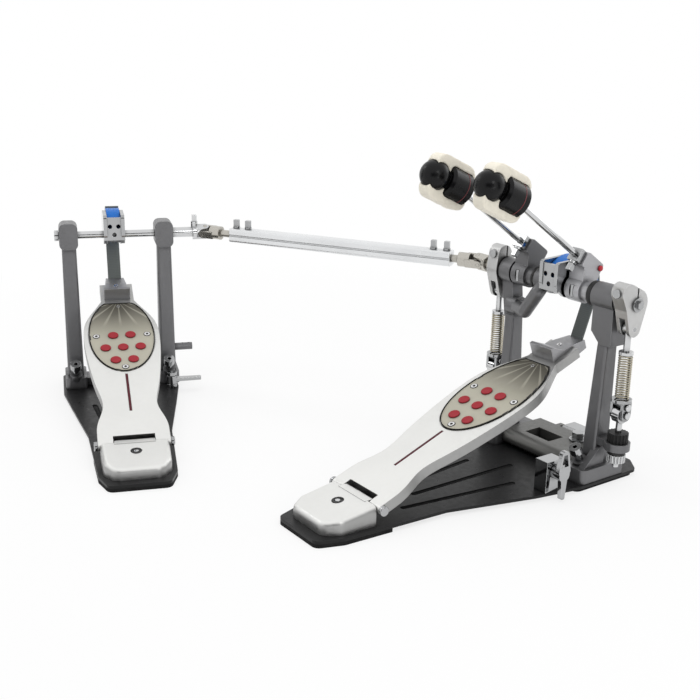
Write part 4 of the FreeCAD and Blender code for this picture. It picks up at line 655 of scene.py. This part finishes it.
lean_point = Matrix.Translation((0, rod_offset, band_top))
head_lean = lean_point @ Matrix.Rotation(head_tilt, 4, "X") @ lean_point.inverted()
line_red = finish("line_red", (0.13, 0.012, 0.018), 0.0, 0.45, 700, 0.02)
for side, x in rod_x.items():
    bpy.ops.mesh.primitive_cylinder_add(vertices=72, radius=line_radius, depth=line_wide,
                                        end_fill_type="NOTHING",
                                        location=(x, rod_offset + head_offset, line_height))
    ring = bpy.context.object
    thick = ring.modifiers.new("thick", "SOLIDIFY")
    thick.thickness = line_thick
    thick.offset = -1
    apply_modifiers(ring)
    smooth(ring)
    settle(ring, rod_tilt @ head_lean, side + "_band_line", side + "_striker", line_red)
    print(ring.name, len(ring.data.polygons))

# %% [markdown]
# ## Red button
# A red button closes a bore in the right holder's side. It is a short cylinder with a wide bevel, so that
# its face is domed as a moulded plug's is.

# %% Red button
button_radius, button_long, button_round = 0.0030, 0.003, 0.0012
button_place = (0.0342, 0.027, -0.0016)


def rounded(piece, width, segments=2, degrees=35):
    """Bevel a piece's sharp edges, apply all its modifiers and shade it smooth."""
    softer = piece.modifiers.new("softer", "BEVEL")
    softer.width = width
    softer.segments = segments
    apply_modifiers(piece)
    smooth(piece, degrees)


button_red = finish("button_red", (0.52, 0.010, 0.025), 0.0, 0.3, 700, 0.01)
bpy.ops.mesh.primitive_cylinder_add(vertices=40, radius=button_radius, depth=button_long,
                                    location=button_place, rotation=(0, math.pi / 2, 0))
button = bpy.context.object
rounded(button, button_round, segments=4, degrees=50)
settle(button, rod_tilt, "holder_button", "right_beater", button_red)
print(button.name, len(button.data.polygons))

# %% [markdown]
# ## Belt weave
# The belts are woven webbing. Threads along and across the strap come from two Wave textures on its own UV
# map, so they follow it round the cam. Where both threads are high, the weave is lighter and stands up.


# %% Belt finish
def belt_finish():
    """Woven webbing: warp and weft threads from the strap's own UV map."""
    material, tree, shader = new_material("belt_weave")
    shader.inputs["Roughness"].default_value = 0.75
    shader.inputs["Sheen Weight"].default_value = 0.1
    along_strap = tree.nodes.new("ShaderNodeUVMap")
    heights = []
    for direction, scale in (("X", 30.0), ("Y", 16.0)):
        thread = tree.nodes.new("ShaderNodeTexWave")
        thread.bands_direction = direction
        thread.inputs["Scale"].default_value = scale
        thread.inputs["Distortion"].default_value = 0.4
        tree.links.new(along_strap.outputs["UV"], thread.inputs["Vector"])
        heights.append(thread.outputs["Fac"])
    weave = maths(tree, "MULTIPLY", heights[0], heights[1])
    shade = mix(tree, weave, (0.135, 0.15, 0.145, 1), (0.17, 0.185, 0.18, 1))
    tree.links.new(shade, shader.inputs["Base Color"])
    raise_surface(tree, shader, weave, strength=0.25, depth=0.0004)
    return material


webbing = belt_finish()
print("belt", webbing.name)

# %% [markdown]
# ## Belts
# Each belt is a flat strap. Its run leaves the toe and goes up over the front of the cam, and a short wrap
# stays on the cam, where the strap is fixed.

# %% Belt routes
belt_half, belt_thick, belt_round = 0.008, 0.0022, 0.0003
toe_y, toe_z = 0.02583, 0.12511
cam_y, cam_z = 0.012, 0.192
strap_radius = 0.0351
leave_angle, wrap_angle, fixed_angle = math.radians(-19.24), math.radians(38), math.radians(75)
wrap_thick, wrap_sink = 0.0012, 0.0005
straight_steps, curved_steps, wrap_steps = 12, 28, 14


def on_cam(radius, angle):
    """The (y, z) point at an angle round the cam's middle."""
    return cam_y + radius * math.cos(angle), cam_z + radius * math.sin(angle)


def round_cam(radius, start, end, steps):
    """Evenly spaced points round the cam."""
    return [on_cam(radius, start + (end - start) * i / steps) for i in range(steps + 1)]


leave_y, leave_z = on_cam(strap_radius, leave_angle)
run_route = [(toe_y + (leave_y - toe_y) * i / straight_steps, toe_z + (leave_z - toe_z) * i / straight_steps)
             for i in range(straight_steps)]
run_route += round_cam(strap_radius, leave_angle, fixed_angle, curved_steps)
wrap_route = round_cam(strap_radius - wrap_sink, wrap_angle, fixed_angle, wrap_steps)
print("belt points", len(run_route), len(wrap_route))


# %% Belt strips
def strap(route, thick):
    """A strip along a route of (y, z) points, with the width across X and a real thickness."""
    steps = len(route) - 1
    bpy.ops.mesh.primitive_grid_add(x_subdivisions=steps, y_subdivisions=6, size=2, calc_uvs=True)
    piece = bpy.context.object
    for vertex in piece.data.vertices:
        y, z = route[round((vertex.co.x + 1) / 2 * steps)]
        vertex.co = Vector((vertex.co.y * belt_half, y, z))
    solid = piece.modifiers.new("solid", "SOLIDIFY")
    solid.thickness = thick
    solid.offset = 0
    rounded(piece, belt_round, degrees=40)
    return piece


for pedal, place in pedal_place.items():
    run = strap(run_route, belt_thick)
    settle(run, place, pedal + "_belt_run", None, webbing)
    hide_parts(pedal + "_belt")
    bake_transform(run)
    wrap = strap(wrap_route, wrap_thick)
    settle(wrap, place, pedal + "_belt_wrap", cam_body[pedal], webbing)
    print(run.name, len(run.data.polygons), wrap.name, len(wrap.data.polygons))

# %% [markdown]
# ## Inlays
# A dark red inlay lies in the groove along each board, a hair below the board's top. It is a long bar with
# small bevels, set in the board's own sloping frame.

# %% Inlays
board_top = 0.0047
stripe_back, stripe_front = 0.0476, 0.1113
inlay_size, inlay_sink, inlay_round = (0.0026, 0.0631, 0.0005), 0.00035, 0.0001
inlay_place = (0, (stripe_back + stripe_front) / 2, board_top - inlay_sink)
inlay_red = finish("inlay_red", (0.085, 0.014, 0.022), 0.0, 0.4, 700, 0.02, gloss=0.2)
for pedal, place in board_place.items():
    bpy.ops.mesh.primitive_cube_add(size=1, location=inlay_place)
    inlay = bpy.context.object
    inlay.scale = inlay_size
    keep_place()
    softer = inlay.modifiers.new("softer", "BEVEL")
    softer.width = inlay_round
    softer.segments = 2
    apply_modifiers(inlay)
    settle(inlay, place, pedal + "_stripe_inlay", pedal + "_board", inlay_red)
    print(inlay.name, len(inlay.data.polygons))

# %% [markdown]
# ## Gaskets
# A black gasket rings each grip plate. A copy of the plate already has that outline: its top face is kept
# and inset, and the narrow band that the inset makes is what stays. A Solidify modifier gives the band its
# thickness.

# %% Gaskets
gasket_wide, gasket_lift, gasket_thick = 0.0019, 0.0004, 0.0008
# Plain black for the gasket, collars and sleeves, also used as painted shade at the screws and heel bolts.
black_parts_and_shade = finish("black_parts_and_shade", (0.010, 0.010, 0.010), 0.0, 0.5, 700, 0.03)
for pedal, place in board_place.items():
    gasket = copy_of_node(pedal + "_grip_plate")
    up = (place.to_3x3() @ Vector((0, 0, 1))).normalized()
    bpy.ops.object.mode_set(mode="EDIT")
    bpy.ops.mesh.select_all(action="SELECT")
    bpy.ops.mesh.dissolve_limited(angle_limit=math.radians(1))
    shape = bmesh.from_edit_mesh(gasket.data)
    for face in shape.faces:
        face.select_set(face.normal.dot(up) > 0.99)
    bmesh.update_edit_mesh(gasket.data)
    bpy.ops.mesh.select_all(action="INVERT")
    bpy.ops.mesh.delete(type="FACE")
    bpy.ops.mesh.select_all(action="SELECT")
    bpy.ops.mesh.inset(thickness=gasket_wide, use_boundary=True)
    bpy.ops.mesh.delete(type="FACE")
    bpy.ops.mesh.select_all(action="SELECT")
    bpy.ops.transform.translate(value=up * gasket_lift)
    bpy.ops.object.mode_set(mode="OBJECT")
    thick = gasket.modifiers.new("thick", "SOLIDIFY")
    thick.thickness = gasket_thick
    apply_modifiers(gasket)
    settle(gasket, Matrix(), pedal + "_plate_gasket", pedal + "_board", black_parts_and_shade)
    print(gasket.name, len(gasket.data.polygons))

# %% [markdown]
# ## Screw sockets and rims
# The grip plate's screws have hexagon sockets, and each head sits in a rim. A dark six-sided disc fills
# each socket and a flat dark ring lies round each head, as painted shade of these recesses. Each kind is
# joined to one piece for a board.

# %% Sockets and rims
screw_top, plate_top = 0.0056, 0.0050
screw_places = ((0, 0.1234), (0.0293, 0.1824), (-0.0293, 0.1824))
socket_radius, socket_thick = 0.0016, 0.0003
rim_outer, rim_inner, rim_tall = 0.0041, 0.0034, 0.0004
proud = 0.0001


def join(pieces):
    """Several primitives as one piece."""
    bpy.ops.object.select_all(action="DESELECT")
    for piece in pieces:
        piece.select_set(True)
    bpy.context.view_layer.objects.active = pieces[0]
    bpy.ops.object.join()
    keep_place()
    return bpy.context.object


def tube_ring(outer, inner, tall, place=(0, 0, 0), turn=(0, 0, 0)):
    """A flat ring about its own Z axis: an open tube with a wall, rounded by a fifth of its thinner side."""
    bpy.ops.mesh.primitive_cylinder_add(vertices=64, radius=outer, depth=tall, end_fill_type="NOTHING",
                                        location=place, rotation=turn)
    ring = bpy.context.object
    keep_place()
    wall = ring.modifiers.new("wall", "SOLIDIFY")
    wall.thickness = outer - inner
    wall.offset = -1
    rounded(ring, min(tall, outer - inner) / 5)
    return ring


for pedal, place in board_place.items():
    discs, rim_shades = [], []
    for x, along in screw_places:
        bpy.ops.mesh.primitive_cylinder_add(vertices=6, radius=socket_radius, depth=socket_thick,
                                            location=(x, along, screw_top + proud))
        discs.append(bpy.context.object)
        rim_shades.append(tube_ring(rim_outer, rim_inner, rim_tall, (x, along, plate_top + proud)))
    # Dark discs and rings: painted shade in the sockets and round the heads.
    socket_shades = join(discs)
    rounded(socket_shades, socket_thick / 5)
    settle(socket_shades, place, pedal + "_screw_socket_shade", pedal + "_board", black_parts_and_shade)
    settle(join(rim_shades), place, pedal + "_screw_rim_shade", pedal + "_board", black_parts_and_shade)
    print(socket_shades.name, len(socket_shades.data.polygons))

# %% [markdown]
# ## Heel bolts
# A flat black ring of painted shade, for the recess that the bolt sits in, lies round the bolt in each heel
# plate, and the bolt shows as a bright, rounded eye in its middle.

# %% Heel bolts
heel_bolt_y = -0.2806
recess_shade_outer, recess_shade_inner, recess_shade_tall, recess_shade_height = 0.0059, 0.0030, 0.0005, 0.02364
eye_radius, eye_tall, eye_round, eye_height = 0.0027, 0.0012, 0.0005, 0.0239
for pedal, place in pedal_place.items():
    # A flat black ring: painted shade of the recess round the bolt.
    recess_shade = tube_ring(recess_shade_outer, recess_shade_inner, recess_shade_tall, (0, heel_bolt_y, recess_shade_height))
    settle(recess_shade, place, pedal + "_heel_recess_shade", "base", black_parts_and_shade)
    bpy.ops.mesh.primitive_cylinder_add(vertices=36, radius=eye_radius, depth=eye_tall,
                                        location=(0, heel_bolt_y, eye_height))
    eye = bpy.context.object
    keep_place()
    rounded(eye, eye_round, segments=3)
    settle(eye, place, pedal + "_heel_bolt_eye", "base", slot_finish["chrome_parts"])
    print(recess_shade.name, eye.name)

# %% [markdown]
# ## Painted groove shade
# Three grooves are pressed into each floor plate to stiffen it. Their floors get painted shade: a thin,
# dull, nearly black strip with round ends, a disc pulled apart at its middle, laid on each groove's floor.

# %% Painted groove shade
groove_half, groove_floor, strip_thick = 0.0029, 0.0060, 0.0003
middle_groove = ((0, -0.189), (0, -0.058))
side_grooves = [((way * 0.019, -0.217), (way * 0.035, -0.088)) for way in (1, -1)]
# Painted shade for the groove floors.
groove_shade = finish("groove_shade", (0.003, 0.003, 0.003), 0.0, 0.6, 700, 0.03, gloss=0.1)


def round_ended_strip(start, end):
    """A flat strip with round ends between two points of a pedal's floor plate."""
    run = Vector(end) - Vector(start)
    bpy.ops.mesh.primitive_cylinder_add(vertices=30, radius=groove_half, depth=strip_thick,
                                        location=(*start, groove_floor + strip_thick / 2),
                                        rotation=(0, 0, math.atan2(-run.x, run.y)))
    strip = bpy.context.object
    for vertex in strip.data.vertices:
        if vertex.co.y > 0:
            vertex.co.y += run.length
    return strip


for pedal, place in pedal_place.items():
    shade_strips = join([round_ended_strip(start, end) for start, end in (middle_groove, *side_grooves)])
    rounded(shade_strips, strip_thick / 6)
    settle(shade_strips, place, pedal + "_groove_shade_strips", "base", groove_shade)
    print(shade_strips.name, len(shade_strips.data.polygons))

# %% [markdown]
# ## Black collars
# Plastic collars sit on the axles beside the bearings, and a black sleeve goes round the ring under each lug
# that carries a spring's rod. Each is a turned ring with rounded edges, and one function makes them all.

# %% Collars
collar_wall = 0.0005
collars = (("right_inner_collar", "right_beater", 0.0437, 0.0493, 0.0131),
           ("right_outer_collar", "right_beater", 0.0787, 0.0828, 0.0131),
           ("left_inner_collar", "left_beater", -0.0343, -0.0317, 0.0126))
for name, body, x0, x1, radius in collars:
    collar = tube_ring(radius, radius - collar_wall, x1 - x0, turn=(0, math.pi / 2, 0))
    middle = Matrix.Translation(((x0 + x1) / 2, 0, axle_height))
    settle(collar, middle, name, body, black_parts_and_shade)
    print(collar.name, len(collar.data.polygons))

# %% Lug rings
lug_outer, lug_inner, lug_tall, lug_height = 0.0088, 0.0084, 0.0048, 0.0415
for side, x in spring_x.items():
    sleeve = tube_ring(lug_outer, lug_inner, lug_tall)
    lug_place = Matrix.Translation((x, 0, lug_height))
    settle(sleeve, lug_place, side + "_lug_ring", "base", black_parts_and_shade)
    print(sleeve.name, len(sleeve.data.polygons))

# %% [markdown]
# ## Link screws
# The clevis under each spring is held by two cross screws with domed heads on both sides. Four short
# cylinders with wide bevels make one piece.

# %% Link screws
link_half, link_pin_heights = 0.008, (0.082, 0.0905)
head_radius, head_tall, head_seat, head_round = 0.0037, 0.0026, 0.0012, 0.0008
for side, x in spring_x.items():
    heads = []
    for height in link_pin_heights:
        for way in (-1, 1):
            bpy.ops.mesh.primitive_cylinder_add(vertices=36, radius=head_radius, depth=head_tall,
                                                location=(x + way * (link_half + head_seat), 0, height),
                                                rotation=(0, math.pi / 2, 0))
            heads.append(bpy.context.object)
    screws = join(heads)
    rounded(screws, head_round, segments=3)
    settle(screws, Matrix(), side + "_link_screws", side + "_link",
           slot_finish["chrome_parts"])
    print(screws.name, len(screws.data.polygons))

# %% [markdown]
# ## Tops with a painted highlight
# The footboards and heel plates get a painted highlight on the faces that look up, and painted shade, a
# duller grey, on their sides. The faces' direction tells one from the other. Towards the boards' narrow toes
# the painted highlight fades, so that they stay grey too. A Mapping node turns the Object coordinates into
# the board's own frame, where the toe is along Y.

# %% Footboard and heel highlights
toe_start, toe_end, toe_highlight = 0.195, 0.262, 0.25
heel_slope = Vector((0, -0.147, 0.989))


def in_frame(tree, place):
    """The Object coordinates, turned into another frame, as three sockets named X, Y and Z."""
    where = tree.nodes.new("ShaderNodeTexCoord")
    turn_in = tree.nodes.new("ShaderNodeMapping")
    turn_in.vector_type = "TEXTURE"
    turn_in.inputs["Location"].default_value = place.to_translation()
    turn_in.inputs["Rotation"].default_value = place.to_euler()
    tree.links.new(where.outputs["Object"], turn_in.inputs["Vector"])
    axes = tree.nodes.new("ShaderNodeSeparateXYZ")
    tree.links.new(turn_in.outputs["Vector"], axes.inputs["Vector"])
    return axes.outputs


def top_highlight_finish(name, place, up):
    """A painted highlight where a face looks up, and painted shade on the sides and towards the toe."""
    material = finish(name, (0.82, 0.82, 0.80), 1.0, 0.38, 1200, 0.03, 0.03, wear_and_highlight=0.8, corner_shade_strength=0.4)
    tree = material.node_tree
    shader = tree.nodes["Principled BSDF"]
    bright = shader.inputs["Base Color"].links[0].from_socket
    shape = tree.nodes.new("ShaderNodeNewGeometry")
    facing = tree.nodes.new("ShaderNodeVectorMath")
    facing.operation = "DOT_PRODUCT"
    facing.inputs[1].default_value = up
    tree.links.new(shape.outputs["Normal"], facing.inputs[0])
    # Painted highlight on faces that look up, and painted shade on the sides.
    highlight_up = spread(tree, facing.outputs["Value"], low=0.35, high=0.85)
    along = in_frame(tree, place)["Y"]
    highlight_before_toe = spread(tree, along, toe_start, toe_end, 1.0, toe_highlight, smoothly=True)
    skin = mix(tree, maths(tree, "MULTIPLY", highlight_up, highlight_before_toe), (0.38, 0.38, 0.375, 1), bright)
    tree.links.new(skin, shader.inputs["Base Color"])
    return material


for pedal, place in board_place.items():
    board_up = place.to_3x3() @ Vector((0, 0, 1))
    heel_up = pedal_place[pedal].to_3x3() @ heel_slope
    give(pedal + "_footboard", top_highlight_finish(pedal + "_board_highlight", place, board_up))
    give(pedal + "_heel_plate", top_highlight_finish(pedal + "_heel_highlight", place, heel_up))
    print("polished tops on", pedal)

# %% [markdown]
# ## Chrome and shaded chrome
# The slave's axle is a plain chromed rod. Small bolts and the pressed cam carriers have so many turned
# faces that they look darker than such a rod. They get a chrome of their own, with painted shade in its
# colour: darker, and with more drift of tone.

# %% Chrome and shaded chrome
give("slave_axle", slot_finish["chrome_parts"])
# A darker copy of the chrome: painted shade for the small fittings.
shaded_chrome = finish("shaded_chrome", (0.40, 0.405, 0.41), 1.0, 0.08, 300, 0.01, 0.12, wear_and_highlight=1.5, corner_shade_strength=0.9)
shaded_fittings = ("main_cam_carrier", "slave_cam_carrier", "shaft_keys", "main_bolts", "slave_bolts",
                 "right_fittings", "left_fittings", "clamp_jaw", "clamp_lever", "slave_wing",
                 "right_spring_link", "left_spring_link")
for node_name in shaded_fittings:
    give(node_name, shaded_chrome)
print("dark chrome", len(shaded_fittings))

# %% [markdown]
# ## Grip plate finish
# The sand-grey plate darkens towards the toe, where plain rays fan out from a point just past its end. In the
# board's own frame, the angle about that point gives the rays, and the way along the board from it gives the
# shading.

# %% Grip plate finish
fan_along, fan_waves = 0.252, 17.0
ray_end, ray_full, ray_strength = 0.054, 0.036, 0.5
dusk_end, dusk_full, dusk_strength = 0.085, 0.005, 0.92


def plate_finish(pedal):
    """Sand-grey satin paint with a shaded fan at the toe end."""
    material = finish(pedal + "_sand_plate", (0.46, 0.44, 0.36), 0.35, 0.4, 900, 0.03, 0.05)
    tree = material.node_tree
    shader = tree.nodes["Principled BSDF"]
    plain = shader.inputs["Base Color"].links[0].from_socket
    axes = in_frame(tree, board_place[pedal])
    below = maths(tree, "SUBTRACT", fan_along, axes["Y"])
    fan = maths(tree, "ARCTAN2", axes["X"], below)
    wave = maths(tree, "COSINE", maths(tree, "MULTIPLY", fan, fan_waves))
    ray = spread(tree, wave, low=0.70, high=0.95)
    near_toe = spread(tree, below, ray_end, ray_full, smoothly=True)
    faint = maths(tree, "MULTIPLY", maths(tree, "MULTIPLY", ray, near_toe), ray_strength)
    dusk = spread(tree, below, dusk_end, dusk_full, 0.0, dusk_strength, smoothly=True)
    darker = mix(tree, dusk, plain, (0.06, 0.055, 0.042, 1))
    rays = mix(tree, faint, darker, (0.50, 0.48, 0.40, 1))
    tree.links.new(rays, shader.inputs["Base Color"])
    return material


for pedal in board_place:
    give(pedal + "_grip_plate", plate_finish(pedal))
print("grip plates", len(board_place))
